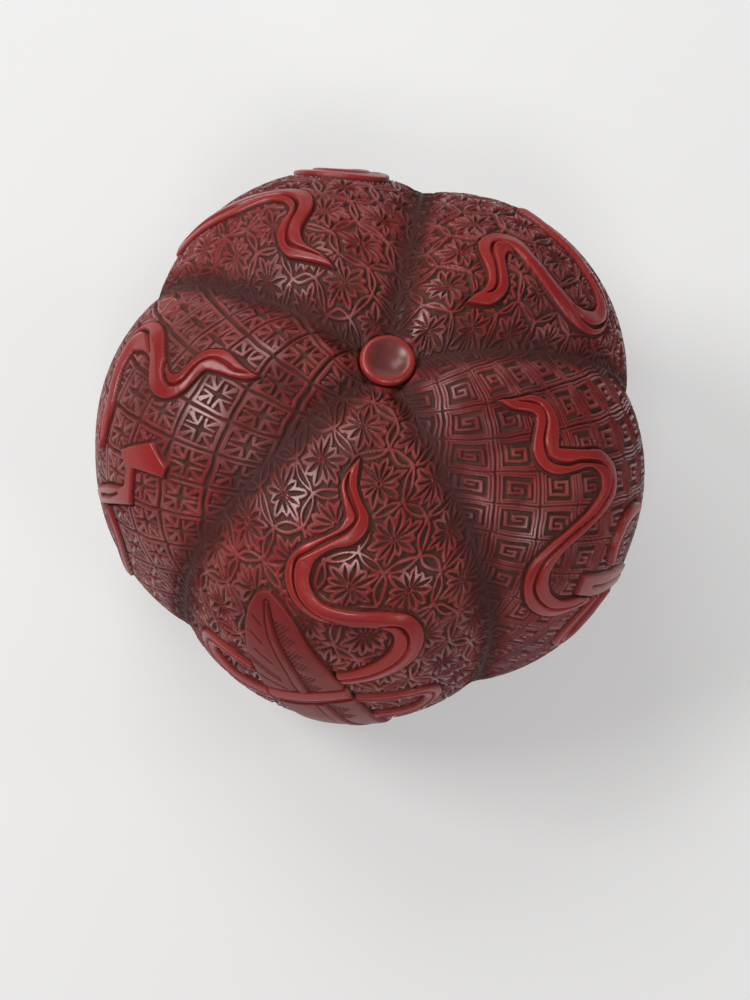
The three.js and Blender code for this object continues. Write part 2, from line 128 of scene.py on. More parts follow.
# The carving is worked out in millimetres across a lobe (u) and down it from the crown (v). A pale line runs
# along an edge, partly rubbed wear and partly painted highlight; it is given by how far inside the edge it
# lies and by its half width
carving = {
    "cut": 0.7,  # depth of the cut ground under the diaper's tops
    "wall": 0.3,  # width of the slope at a cut edge
    "wallLine": (0.12, 0.19),
    "moat": 0.55,  # bare ground around a ribbon or an emblem
    "rimLine": (0.25, 0.14),
    "rimShine": 0.7,
    "grooveFade": 1.0,  # the carving runs out beside the grooves between the lobes
    "shallowShare": 0.6,  # near them it has this share of its depth
    "shallowTo": 2.6,
    "shallowSlope": 3,
    "grooveLevel": -0.4,
    "grooveRound": 2.6,  # the grooves are rounded this far to each side
    # Near the grooves the colour darkens over this width: partly wear, partly painted shade in the crease
    "wearAndShadeWidth": 5.5,
}
ribbonCut = {
    "rise": 0.65,
    "lift": 0.18,  # the middle lies this much higher
    "fall": 0.22,  # slope from the middle down to the edges
    "fallReach": 1.9,
    "shoulder": 0.32,  # width over which an edge rounds off
    "dome": 0.06,  # each strand swells this much
    "strandWidth": 1.6,  # a narrower strand swells less
    "slotDepth": 0.85,  # dark line cut along a ribbon
    "slotHalf": 0.2,
    "slotFrom": 1.1,  # where the half width is less, the slot is only a line
    "slotOut": 0.05,  # the slope into a slot has its middle this far outside it
    "slotWall": 0.38,
    # The pale lines beside a slot are partly rubbed wear and partly painted highlight
    "slotLine": (0.2, 0.12),
    "slotShine": 0.5,
    "margin": 5,  # a ribbon is worked out this far around its run
}
emblemCut = {
    "plateRise": 0.62,
    "plateShoulder": 0.35,
    "plateSlot": 0.3,
    "bandLift": 0.12,  # a bow lies this much over a ribbon's height
    "mirrorRise": 0.7,
    "mirrorShoulder": 0.45,
    "fieldDepth": 0.38,
    "fieldFrom": 1.7,  # distances inside the mirror's rim
    "ring": (4, 5.1),
    "ringShare": 0.8,
    "ringSlope": 0.4,
}
leafCut = {
    "rise": 0.6,
    "shoulder": 0.4,
    "hollow": (0.9, 0.8),  # the blade is hollowed beside the rib
    "hollowDepth": 0.12,
    "ribRise": 0.16,
    "ribSlope": 0.3,
    "ribRound": 1.6,
    "groove": (0.12, 0.22),
    "grooveDepth": 0.5,
    "groupSlope": 0.6,
    "hatchPitch": 0.98,
    "hatchSlant": 0.84,
    "hatchHalf": 0.19,
    "hatchReach": 3.9,
    "hatchDepth": 0.34,
    "creaseHalf": 0.18,
    "creaseDepth": 0.3,
    "tone": 0.42,  # how dark the blade is, and how much darker its lines are
    "lineTone": 0.58,
}

# A ribbon's run is given as across, down and half width. Its slots are the dark lines cut along it, given the
# same way, and without slots of its own it has one along its middle
lobes = [
    {
        "name": "front",
        "diaper": {"kind": "flowers", "pitch": 11.8, "turn": 5, "at": (3.2, 28.4), "stray": 0.14},
        "ribbons": [
            {"run": [(-1.2, 24, 0), (-1.9, 27, 0.9), (-2.3, 30, 1.6), (-1, 33.1, 1.8), (0.3, 35.4, 2.2),
                     (0.3, 37.3, 2.4), (-0.9, 39.2, 2.1), (-3.2, 40.8, 1.5), (-5.6, 42.7, 1.5),
                     (-7.5, 44.8, 1.9), (-8.6, 47.4, 2.4), (-8.6, 50.4, 2.6), (-6.6, 53.3, 2.4),
                     (-3.2, 55, 2), (1.4, 55.3, 1.8), (6.8, 55.1, 1.8), (10.5, 55.6, 2.1),
                     (13.2, 57, 2.5), (14.8, 60, 2.9), (14.6, 63.3, 3.1), (12.8, 66.3, 3),
                     (9.2, 69.3, 2.5), (4, 72, 1.9), (-1.4, 73.2, 1.7)],
             "slots": [
                 [(-2.7, 27.5, 0.05), (-2.7, 30, 0.3), (-1.7, 32.1, 0.4), (0, 34.8, 0.3),
                  (0.2, 36.2, 0.25), (-1.1, 38.5, 0.35), (-4.6, 41.6, 0.4), (-7.6, 44.6, 0.25),
                  (-9.3, 46.4, 0.2), (-9.6, 49, 0.2), (-8.6, 52.2, 0.2), (-6.6, 54.4, 0.2),
                  (-3, 56, 0.15), (2.5, 56.9, 0.05)],
                 [(8.3, 56.7, 0.05), (10.9, 56.6, 0.2), (13, 57.5, 0.28), (14.5, 59.8, 0.25),
                  (14.7, 62.6, 0.2), (13.3, 65.6, 0.2), (10.4, 68.4, 0.2), (6.4, 70.8, 0.2),
                  (2.3, 72.4, 0.18), (-1.4, 73, 0.15)]]},
            {"run": [(-13, 80.4, 1.2), (-20.5, 81, 1.5), (-25.2, 83.2, 2), (-25.2, 87.2, 2.2),
                     (-22.5, 89.6, 2.3), (-18.6, 91.2, 2.4), (-14, 90.6, 2.3), (-10.5, 89.6, 2.3)]},
            {"run": [(5, 80.6, 1.2), (13, 80.8, 1.4), (20.2, 81.6, 1.7), (22.6, 85.6, 1.9),
                     (19.6, 90.4, 1.9), (12, 90.6, 1.4)]},
        ],
        "leaf": {
            "outline": [(-13.4, 55), (-16, 56.8), (-17.4, 61.6), (-17, 68.8), (-15, 77), (-11.6, 84.7),
                        (-7.9, 91), (-1.5, 99), (7, 105.5), (14.5, 108), (14.2, 102), (9.4, 88),
                        (2.9, 73.6), (-2.5, 66), (-8.7, 58)],
            "rib": [(-13.7, 57.6, 0.3), (-12.4, 61.8, 0.7), (-11, 65.3, 0.85), (-8.7, 69.6, 0.95),
                    (-6.2, 74.4, 1.05), (-3.7, 80.5, 1.1), (0.5, 86, 1.1), (5, 95.5, 1),
                    (12.5, 107, 0.6)],
            "hatched": [(60.5, 66), (66.6, 71.6), (73.2, 79.6), (82.6, 92)],
            "creases": [((-15.6, 74.6), (-8.4, 78.2)), ((-15.2, 76), (-8, 79.4)),
                        ((-13, 80.8), (-6.6, 82.2)), ((-14.4, 71.2), (-10.4, 73.4)),
                        ((-15.8, 66.4), (-13, 68.2)), ((-16, 62), (-14, 63.4))],
        },
        "band": {"run": [(-10.6, 88.2, 2.2), (-6, 86, 2.2), (-1.6, 83.2, 2.2), (2.6, 80.2, 2.1),
                         (7.6, 76.8, 2)],
                 "slots": [[(-11, 89.1, 0.2), (-6, 86.9, 0.2), (-1.2, 84.1, 0.2), (3, 81.1, 0.2),
                            (8, 77.6, 0.2)]]},
    },
    {
        "name": "right",
        "diaper": {"kind": "frets", "pitch": 7.6, "turn": 45, "at": (-11, 38.4), "stray": 0.07},
        "ribbons": [
            {"run": [(1.3, 23.8, 0), (2.3, 26.6, 1), (3.6, 28.6, 1.4), (4.9, 30.6, 1.9),
                     (5.1, 32.8, 2.4), (3.2, 34.6, 2.6), (0.2, 35.8, 2.7), (-1.8, 37.2, 2.8),
                     (-2, 39.6, 2.8), (0.4, 42.4, 2.2), (3, 45.2, 1.7), (4.5, 48, 2.2), (4.2, 51, 2.4),
                     (1.8, 53.1, 2.2), (-1.5, 53.4, 1.8), (-7.5, 53, 1.5), (-13.8, 53, 1.6),
                     (-19, 55, 2.1), (-21.9, 58.2, 2.4), (-23, 63.1, 2.7), (-20.9, 67.9, 2.4),
                     (-16.3, 70.8, 1.9), (-13, 72.6, 1.7)],
             "slots": [
                 [(3.5, 27.6, 0.05), (5, 30.2, 0.22), (5.4, 32.3, 0.2), (3.9, 34, 0.2),
                  (0.2, 35.2, 0.22), (-1.9, 37, 0.32), (-2.5, 39, 0.38), (-1, 41.9, 0.32),
                  (1.2, 43.8, 0.3), (3.9, 47.5, 0.3), (4.6, 50, 0.25), (3.5, 52.2, 0.2), (1, 53.3, 0.2),
                  (-4, 53.3, 0.2), (-11.2, 52.6, 0.22), (-17.9, 54, 0.25), (-22.2, 57.9, 0.28),
                  (-23.3, 62, 0.25), (-21.8, 66.7, 0.2), (-18, 70, 0.18), (-14.7, 71.6, 0.15)]]},
            {"run": [(-10, 75.8, 1.3), (-14, 79, 1.6), (-17.4, 84, 1.6), (-17.4, 88, 1.4),
                     (-14, 87.6, 1.2), (-10, 83.6, 1.3), (-5, 81.5, 1.3)]},
        ],
        "plates": [[(-15.8, 67.6), (-12.9, 63.4), (-8.3, 68.6), (-3.7, 73.9), (1.8, 81.4), (-0.8, 85.2),
                    (-4.6, 81), (-8.2, 77), (-11.6, 73.4)]],
        "slots": [[(-11.5, 69.4), (-8.8, 72.5), (-5.6, 76), (0, 82.8)]],
        "band": {"run": [(7, 66.2, 0.8), (4.6, 64, 1.3), (1.2, 62.6, 1.5), (-2, 63.4, 1.3),
                         (-4.2, 65, 1.1), (-5.5, 67.6, 0.9)], "slots": []},
    },
    {
        "name": "backRight",
        "diaper": {"kind": "flowers", "pitch": 10.4, "turn": 6, "at": (3.1, 19.8), "barHalf": 0.62,
                   "stray": 0.14},
        "ribbons": [
            {"run": [(-2.2, 19.4, 0), (-3, 21.8, 1), (-4, 24.6, 1.8), (-3.3, 27.6, 2.3),
                     (-0.8, 29.6, 2.2), (2, 31.6, 2.4), (3.8, 33.8, 2.9), (3.9, 36, 3),
                     (2.6, 37.6, 2.5), (0.8, 38.2, 2), (-1.8, 38.1, 1.6), (-4.7, 38.4, 1.5),
                     (-7.6, 38.8, 1.5), (-11, 39.9, 1.6), (-14.1, 41.5, 1.6), (-16.6, 43.3, 1.8),
                     (-18.9, 46.3, 2.2), (-20, 50, 2.5), (-18.2, 53, 2.3), (-14.9, 54, 1.9),
                     (-11.8, 53.7, 1.5), (-9, 53, 1.3), (-6, 52.9, 1.3), (2, 52, 1.4), (9, 53.5, 1.5)],
             "slots": [
                 [(-3.4, 24.5, 0.05), (-3.6, 26.3, 0.22), (-2.8, 27.8, 0.26), (-1.1, 29.3, 0.26),
                  (0.8, 30.8, 0.28), (3, 32.4, 0.3), (4.3, 34.2, 0.25), (4.3, 35.6, 0.22),
                  (3.2, 36.5, 0.22), (1.6, 36.8, 0.22), (-1.6, 36.7, 0.2)],
                 [(-14.5, 42.8, 0.05), (-17, 43.9, 0.2), (-19, 45.8, 0.28), (-20.6, 48.3, 0.35),
                  (-20.9, 50.8, 0.35), (-20.2, 53, 0.25), (-18.4, 54.2, 0.2), (-16.4, 54.4, 0.2),
                  (-13.5, 53.8, 0.18), (-10.1, 53, 0.1)]]},
        ],
    },
    {
        "name": "backLeft",
        "diaper": {"kind": "flowers", "pitch": 10.9, "turn": 74, "at": (-6.1, 26), "barHalf": 0.8,
                   "stray": 0.14},
        "ribbons": [
            {"run": [(1.9, 21.2, 0), (3.3, 24.6, 0.9), (5.4, 28.2, 1.5), (6.6, 31.2, 2.4),
                     (6.2, 34, 2.7), (4.5, 35.9, 2.4), (2.3, 37.5, 2.2), (0.7, 39.3, 2.4), (0, 42, 2.7),
                     (0.8, 44.3, 2.4), (2.4, 46.2, 2), (4.3, 47.8, 1.7), (7.1, 50.1, 2.2),
                     (10.1, 52.4, 2.5), (13.6, 56, 2.6), (17, 60, 2.5), (20, 63.4, 2.2), (22, 67, 1.9)],
             "slots": [
                 [(3.2, 25.4, 0.05), (4.7, 27.8, 0.2), (6.6, 31, 0.3), (7, 33, 0.35), (5.5, 35.6, 0.25),
                  (2.4, 38.3, 0.28), (1, 40.4, 0.35), (0.9, 42.6, 0.35), (2.1, 45.1, 0.25),
                  (4.6, 47.4, 0.2), (7.6, 49.8, 0.2), (10.6, 52, 0.2), (13.7, 55, 0.2), (17, 59, 0.2),
                  (20.5, 63.4, 0.15)]]},
        ],
        "mirror": {"centre": (-14.5, 58), "radius": 9.5},
    },
    {
        "name": "left",
        "diaper": {"kind": "florets", "pitch": 8.4, "turn": 47, "at": (4.4, 35.2), "stray": 0.08},
        "ribbons": [
            {"run": [(2.7, 26.4, 0), (2.1, 28.4, 0.9), (0.3, 30.8, 1.7), (-2, 33.3, 2.3),
                     (-3.1, 36, 2.2), (-2.4, 38.2, 1.9), (-0.8, 40.4, 1.8), (0, 42.4, 2.2),
                     (-0.2, 44.6, 2.6), (-1.8, 46.2, 2.6), (-4.5, 46.8, 2.2), (-8, 47.4, 1.8),
                     (-10.8, 48.6, 2.2), (-13.6, 50.8, 2.9), (-15.2, 53.6, 3.2), (-15.2, 56, 3.1),
                     (-13.6, 57.6, 2.6), (-11.2, 58.9, 2.1), (-8.6, 59.6, 1.8), (-6, 60.4, 1.7),
                     (-3.3, 61.6, 1.6), (-2, 63.2, 1.8), (-0.8, 65.2, 2.1), (0.6, 66.8, 1.9),
                     (2.4, 67.8, 0.6)],
             "slots": [
                 [(1.8, 28.4, 0.05), (0.6, 30.7, 0.25), (-1.4, 32.5, 0.3), (-2.9, 34.6, 0.25),
                  (-3.1, 36.7, 0.22), (-2.4, 38.3, 0.22), (-1.2, 39.8, 0.22), (-0.1, 41.4, 0.25),
                  (0.1, 43, 0.28), (-0.6, 44.4, 0.28), (-2.1, 45, 0.25), (-3.9, 45.3, 0.2),
                  (-5.7, 45.1, 0.15)],
                 [(-9.4, 49.3, 0.1), (-12.2, 50.4, 0.22), (-14.9, 51.8, 0.3), (-16.9, 54.2, 0.3),
                  (-17, 56.4, 0.25), (-15.4, 58.4, 0.22), (-12.2, 60, 0.2), (-9, 60.7, 0.2),
                  (-5.6, 61.8, 0.2), (-2.4, 64.1, 0.2), (-0.8, 65.5, 0.2), (1, 67, 0.1)]]},
            {"run": [(9.5, 77, 1.4), (14.4, 81.6, 1.8), (16.8, 88, 1.8), (18, 95, 1.5)]},
        ],
        "plates": [[(6.9, 59.8), (7.7, 56.5), (9.2, 51.4), (14.9, 51.2), (16.6, 53.4), (14.3, 55.7),
                    (11.7, 58.7), (14.4, 61.8), (16.8, 65.5), (13.7, 71.1), (7.6, 83), (4.9, 82),
                    (6.2, 77.7), (9.5, 70.5), (12.6, 65.6), (13, 63.6), (10.9, 60.3), (8.2, 60.2)]],
        "slots": [[(8, 78), (10, 74.2), (11.2, 72.1), (12.8, 67.6)]],
    },
]


# 0 outside an edge and 1 inside it, with a soft slope
def ramp(distance, soft=carving["wall"]):
    x = np.clip(distance / soft + 0.5, 0, 1)
    return x * x * (3 - 2 * x)


# A soft line at a distance inside an edge
def lineAt(distance, at, half):
    return np.exp(-((distance - at) / half) ** 2)


def turnedInto(u, v, at, turn):
    c, s = math.cos(math.radians(turn)), math.sin(math.radians(turn))
    return (u - at[0]) * c + (v - at[1]) * s, (v - at[1]) * c - (u - at[0]) * s


# A steady chance value from 0 to 1 for two whole numbers
def chance(first, second):
    return np.mod(np.sin(12.99 * first + 78.23 * second) * 43758.55, 1)


# Distance inside a stroke that widens from its start to its end
def stroke(x, y, start, end, halfStart, halfEnd):
    dx, dy = end[0] - start[0], end[1] - start[1]
    t = np.clip(((x - start[0]) * dx + (y - start[1]) * dy) / (dx * dx + dy * dy), 0, 1)
    return halfStart + (halfEnd - halfStart) * t - np.hypot(x - start[0] - t * dx, y - start[1] - t * dy)


# Flowers in a honeycomb whose sides are pointed ovals. Each of the twelve petals has a leaf-shaped slit and
# its own length. All diapers give the distance inside a raised part, in millimetres, negative where the
# ground is cut away
flowerCut = {
    "pitch": 11.8,  # the sizes here are for flowers this far apart, and are scaled for others
    "petalTurn": 30,
    "reach": 5.1,
    "cornerReach": 0.5,  # petals towards the honeycomb's corners are longer
    "uneven": 0.95,  # the longest and shortest differ by this much
    "round": 1.4,  # a petal's tip falls back this far at its sides
    "slope": 1.3,
    "slitStart": 0.3,
    "slitHalf": 0.32,
    "slitUneven": 0.14,
    "eye": 0.42,
    "ovalEdge": 0.25,  # half width of the raised edge of an oval
    "ovalIn": 0.16,
    "boss": 0.5,
}


def flowerDiaper(u, v, cell):
    pitch = cell["pitch"]
    size = pitch / flowerCut["pitch"]
    a, b = turnedInto(u, v, cell["at"], cell["turn"])
    rowStep = pitch * math.sqrt(3)
    column, row = np.round(a / pitch), np.round(b / rowStep)
    otherColumn, otherRow = np.round(a / pitch - 0.5), np.round(b / rowStep - 0.5)
    near = (a - pitch * column, b - rowStep * row)
    other = (a - pitch * (otherColumn + 0.5), b - rowStep * (otherRow + 0.5))
    pick = np.hypot(*other) < np.hypot(*near)
    flower = np.where(pick, otherColumn + 9 * otherRow + 40, column + 9 * row)  # a number for each flower
    x, y = np.where(pick, other[0], near[0]) / size, np.where(pick, other[1], near[1]) / size
    r, way = np.hypot(x, y), np.degrees(np.arctan2(y, x))
    petalTurn = flowerCut["petalTurn"]
    petal = np.mod(np.round(way / petalTurn), 360 / petalTurn)
    off = way - petalTurn * np.round(way / petalTurn)
    tip = flowerCut["reach"] - flowerCut["cornerReach"] * np.cos(np.radians(6 * way))
    tip = tip + flowerCut["uneven"] * (chance(flower, petal) - 0.5)
    outer = (tip - flowerCut["round"] * np.abs(off) / (petalTurn / 2) - r) / flowerCut["slope"]
    along, aside = r * np.cos(np.radians(off)), r * np.abs(np.sin(np.radians(off)))
    reach = np.clip((along - flowerCut["slitStart"]) / (tip - 1), 0, 1)
    slitHalf = flowerCut["slitHalf"] + flowerCut["slitUneven"] * chance(petal, flower)
    slit = aside - slitHalf * np.sin(math.pi * reach) ** 0.9
    raised = np.minimum(np.minimum(outer, slit), r - flowerCut["eye"])
    side = np.radians(way - 60 * np.round(way / 60))
    toSide = flowerCut["pitch"] / 2
    across, run = toSide - r * np.cos(side), r * np.sin(side)
    halfSide = toSide / math.sqrt(3)
    barHalf = cell.get("barHalf", 1)
    lean = 2 * barHalf * run / halfSide ** 2
    oval = (barHalf * (1 - (run / halfSide) ** 2) - across) / np.hypot(1, lean)
    raised = np.maximum(raised, flowerCut["ovalEdge"] - np.abs(oval - flowerCut["ovalIn"]))
    return np.maximum(raised, flowerCut["boss"] - np.hypot(across, np.abs(run) - halfSide)) * size


# Square cells with a raised frame; each holds a floret of four crow's feet whose middle toes are drops
floretCut = {
    "frameIn": 0.68,  # the frame's middle line lies this far inside its cell
    "frameHalf": 0.34,
    "heel": 0.68,
    "heelHalf": 0.22,
    "footIn": 1.35,  # the toes end about this far inside the cell
    "middleShort": 0.45,
    "middleHalf": 0.56,
    "sideShort": 0.35,
    "sideHalf": 0.34,
    "sideAt": 0.56,
    "uneven": 0.4,
}


def floretDiaper(u, v, cell):
    pitch = cell["pitch"]
    a, b = turnedInto(u, v, cell["at"], cell["turn"])
    column, row = np.round(a / pitch), np.round(b / pitch)
    x, y = a - pitch * column, b - pitch * row
    quarter = 2 * (x > 0) + (y > 0)
    x, y = np.abs(x), np.abs(y)
    raised = floretCut["frameHalf"] - np.abs(pitch / 2 - np.maximum(x, y) - floretCut["frameIn"])
    heel, reach = (floretCut["heel"], floretCut["heel"]), pitch / 2 - floretCut["footIn"]
    floret = column + 7 * row
    middleEnd = reach - floretCut["middleShort"] + floretCut["uneven"] * chance(floret, quarter)
    sideEnd = reach - floretCut["sideShort"] + floretCut["uneven"] * chance(quarter, floret)
    toes = [((middleEnd, middleEnd), floretCut["middleHalf"]),
            ((floretCut["sideAt"], sideEnd), floretCut["sideHalf"]),
            ((sideEnd, floretCut["sideAt"]), floretCut["sideHalf"])]
    for end, half in toes:
        raised = np.maximum(raised, stroke(x, y, heel, end, floretCut["heelHalf"], half))
    return raised


# Square cells with a doubled raised frame; each holds a squared spiral, whose corners are given in steps
fretCut = {
    "frames": [(0.4, 0.22), (1.0, 0.2)],  # how far inside the cell each lies, and its half width
    "step": 1.12,
    "lineHalf": 0.3,
    "corners": [(-0.4, 0), (0.6, 0), (0.6, 1), (-1.4, 1), (-1.4, -1.2), (1.7, -1.2), (1.7, 1.7)],
}


def fretDiaper(u, v, cell):
    pitch, step = cell["pitch"], fretCut["step"]
    a, b = turnedInto(u, v, cell["at"], cell["turn"])
    column, row = np.round(a / pitch), np.round(b / pitch)
    x, y = a - pitch * column, b - pitch * row
    inward = pitch / 2 - np.maximum(np.abs(x), np.abs(y))
    (outerAt, outerHalf), (innerAt, innerHalf) = fretCut["frames"]
    raised = np.maximum(outerHalf - np.abs(inward - outerAt), innerHalf - np.abs(inward - innerAt))
    flip = np.where((column + row) % 2 == 0, 1, -1)
    x, y = x * flip, y * flip
    corners = fretCut["corners"]
    for (x0, y0), (x1, y1) in zip(corners, corners[1:]):
        outX = np.abs(x - (x0 + x1) * step / 2) - abs(x1 - x0) * step / 2
        outY = np.abs(y - (y0 + y1) * step / 2) - abs(y1 - y0) * step / 2
        raised = np.maximum(raised, fretCut["lineHalf"] - np.maximum(outX, outY))
    return raised


diapers = {"flowers": flowerDiaper, "florets": floretDiaper, "frets": fretDiaper}


# A smooth curve through points that may carry a half width as well
def smoothCurve(points, steps=8):
    p = np.array(points, float)
    p = np.vstack([2 * p[0] - p[1], p, 2 * p[-1] - p[-2]])
    t = np.linspace(0, 1, steps, endpoint=False)[:, None]
    out = []
    for i in range(1, len(p) - 2):
        a, b, c, d = p[i - 1], p[i], p[i + 1], p[i + 2]
        out.append(0.5 * (2 * b + (c - a) * t + (2 * a - 5 * b + 4 * c - d) * t ** 2
                          + (3 * b - a - 3 * c + d) * t ** 3))
    return np.vstack(out + [p[-2:-1]])


# Distance from the curve, signed offset to its side, distance along it, and its further values there
def besideCurve(u, v, curve):
    best = np.full(u.shape, 1e9)
    offset, along = np.zeros_like(best), np.zeros_like(best)
    further = [np.zeros_like(best) for _ in curve[0, 2:]]
    run = 0
    for start, end in zip(curve, curve[1:]):
        dx, dy = end[:2] - start[:2]
        length = math.hypot(dx, dy)
        t = np.clip(((u - start[0]) * dx + (v - start[1]) * dy) / length ** 2, 0, 1)
        ex, ey = u - start[0] - t * dx, v - start[1] - t * dy
        dist = np.hypot(ex, ey)
        closer = dist < best
        best = np.where(closer, dist, best)
        offset = np.where(closer, np.sign(dx * ey - dy * ex) * dist, offset)
        along = np.where(closer, run + length * t, along)
        pairs = zip(start[2:], end[2:], further)
        further = [np.where(closer, a + (b - a) * t, old) for a, b, old in pairs]
        run += length
    return best, offset, along, *further


# Distance inside a closed outline, negative outside
def insideOutline(u, v, outline):
    ring = np.vstack([outline, outline[:1]])
    dist = besideCurve(u, v, ring)[0]
    inside = np.zeros(u.shape, bool)
    for (x0, y0), (x1, y1) in zip(ring[:-1], ring[1:]):
        if y0 == y1:
            continue
        crosses = ((y0 > v) != (y1 > v)) & (u < (x1 - x0) * (v - y0) / (y1 - y0) + x0)
        inside ^= crosses
    return np.where(inside, dist, -dist)


# Height of a flat band with rounded edges, which start just below the diaper's tops
def bandTop(inside, rise, shoulder, start=-0.1):
    s = 1 - np.clip(inside / shoulder, 0, 1)
    return start + (rise - start) * np.sqrt(1 - s * s)


# Lays a raised form into the layers that carve makes; dark is how dark it is, and lines its own pale lines.
# These pale lines, like the one along its rim, are partly rubbed wear and partly painted highlight
def addRaised(layers, near, inside, top, dark=0, lines=0):
    relief, ribbon, edge, shade = (layer[near] for layer in layers)
    bare = ramp(inside + carving["moat"])
    relief = relief * (1 - bare) - carving["cut"] * bare
    share = ramp(inside)
    rim = carving["rimShine"] * lineAt(inside, *carving["rimLine"])
    layers[0][near] = relief * (1 - share) + top * share
    layers[1][near] = np.maximum(ribbon, share)
    layers[2][near] = edge * (1 - bare) + rim + lines * share
    layers[3][near] = shade * (1 - share) + dark * share


# A ribbon and the dark lines along it; within is the distance inside what it is carved on, if that ends it
def addRibbon(layers, u, v, ribbon, rise=ribbonCut["rise"], within=None):
    curve, margin = smoothCurve(ribbon["run"]), ribbonCut["margin"]
    low, high = curve[:, :2].min(0) - margin, curve[:, :2].max(0) + margin
    near = (u > low[0]) & (u < high[0]) & (v > low[1]) & (v < high[1])
    if not near.any():
        return
    dist, _, _, half = besideCurve(u[near], v[near], curve)
    inside = half - dist
    middle = [(x, y, ribbonCut["slotHalf"] if width > ribbonCut["slotFrom"] else 0)
              for x, y, width in ribbon["run"]]
    toSlot = np.full(inside.shape, 9.0)
    for slot in ribbon.get("slots", [middle]):
        away, _, _, width = besideCurve(u[near], v[near], smoothCurve(slot))
        toSlot = np.minimum(toSlot, away - width)
    toEdge = np.clip(inside, 0, None)
    other = np.clip(np.minimum(toSlot, 2 * half - inside), 0, None)
    strand = toEdge + other + 1e-6
    dome = 4 * other * toEdge / strand ** 2 * np.clip(strand / ribbonCut["strandWidth"], 0, 1)
    top = bandTop(inside, rise + ribbonCut["lift"], ribbonCut["shoulder"]) + ribbonCut["dome"] * dome
    top = top - ribbonCut["fall"] * np.minimum(dist, ribbonCut["fallReach"])
    top = top - ribbonCut["slotDepth"] * ramp(ribbonCut["slotOut"] - toSlot, ribbonCut["slotWall"])
    if within is not None:
        inside = np.minimum(inside, within[near])
    # The pale lines beside the slots are partly rubbed wear and partly painted highlight
    addRaised(layers, near, inside, top, 0, ribbonCut["slotShine"] * lineAt(toSlot, *ribbonCut["slotLine"]))


# A leaf with a raised rib, groups of fine hatching on one side of it and a few creases on the other
def addLeaf(layers, every, u, v, leaf):
    outline = smoothCurve(leaf["outline"] + leaf["outline"][:1], 4)[:-1]
    inside = insideOutline(u, v, outline)
    dist, offset, along, ribHalf = besideCurve(u, v, smoothCurve(leaf["rib"]))
    beside = dist - ribHalf
    top = bandTop(inside, leafCut["rise"], leafCut["shoulder"])
    top = top - leafCut["hollowDepth"] * lineAt(beside, *leafCut["hollow"])
    rib = leafCut["ribRise"] * ramp(ribHalf - dist, leafCut["ribSlope"])
    top = top + rib * (1 - (dist / leafCut["ribRound"]) ** 2)
    groove = lineAt(beside, *leafCut["groove"])
    soft = leafCut["groupSlope"]
    group = sum(ramp(v - low, soft) * ramp(high - v, soft) for low, high in leaf["hatched"])
    pitch = leafCut["hatchPitch"]
    vein = np.abs(np.mod(along + leafCut["hatchSlant"] * dist, pitch) - pitch / 2)
    length = ramp(beside - 0.3, 0.4) * ramp(leafCut["hatchReach"] + 0.9 * np.sin(1.7 * along) - dist, 0.8)
    hatch = lineAt(vein, 0, leafCut["hatchHalf"]) * group * length * (offset < 0)
    crease = 0 * u
    for first, last in leaf["creases"]:
        crease = np.maximum(crease, lineAt(stroke(u, v, first, last, 0, 0), 0, leafCut["creaseHalf"]))
    top = top - leafCut["grooveDepth"] * groove - leafCut["hatchDepth"] * hatch
    top = top - leafCut["creaseDepth"] * crease
    dark = leafCut["tone"] + leafCut["lineTone"] * np.clip(0.9 * groove + hatch + 0.8 * crease, 0, 1)
    addRaised(layers, every, inside, top, dark)
    return inside


# Height of the carving over the diaper's tops, how far it is ribbon or emblem, how near a cut edge, and
# how far it is darkened
def carve(lobe, u, v):
    strayU = np.sin(0.55 * v + 0.9 * u + 1) + np.sin(1.1 * v - 0.35 * u)
    strayV = np.sin(0.8 * u + 0.4 * v + 2) + np.sin(0.3 * u - 0.95 * v)
    stray = lobe["diaper"]["stray"]  # hand-cut lines stray this far
    uu, vv = u + stray * strayU, v + stray * strayV
    distance = diapers[lobe["diaper"]["kind"]](uu, vv, lobe["diaper"])
    relief = -carving["cut"] * (1 - ramp(distance))
    # The pale line along each cut wall is partly rubbed wear and partly painted highlight
    layers = [relief, np.zeros_like(u), lineAt(distance, *carving["wallLine"]), np.zeros_like(u)]
    every = np.ones(u.shape, bool)
    for ribbon in lobe["ribbons"]:
        addRibbon(layers, u, v, ribbon)
    for outline in lobe.get("plates", []):
        inside = insideOutline(u, v, np.array(outline, float))
        addRaised(layers, every, inside, bandTop(inside, emblemCut["plateRise"], emblemCut["plateShoulder"]))
    for points in lobe.get("slots", []):
        dist = besideCurve(u, v, smoothCurve(points))[0]
        layers[0] -= ribbonCut["slotDepth"] * lineAt(dist, 0, emblemCut["plateSlot"])
    if "mirror" in lobe:
        centre, radius = lobe["mirror"]["centre"], lobe["mirror"]["radius"]
        inside = radius - np.hypot(u - centre[0], v - centre[1])
        field, *ring = (ramp(inside - start, emblemCut["ringSlope"])
                        for start in (emblemCut["fieldFrom"], *emblemCut["ring"]))
        rings = field - emblemCut["ringShare"] * ring[0] + emblemCut["ringShare"] * ring[1]
        top = bandTop(inside, emblemCut["mirrorRise"], emblemCut["mirrorShoulder"])
        addRaised(layers, every, inside, top - emblemCut["fieldDepth"] * rings)
    within = addLeaf(layers, every, u, v, lobe["leaf"]) if "leaf" in lobe else None
    if "band" in lobe:
        addRibbon(layers, u, v, lobe["band"], ribbonCut["rise"] + emblemCut["bandLift"], within)
    return layers


def deselectAll():
    bpy.ops.object.select_all(action="DESELECT")


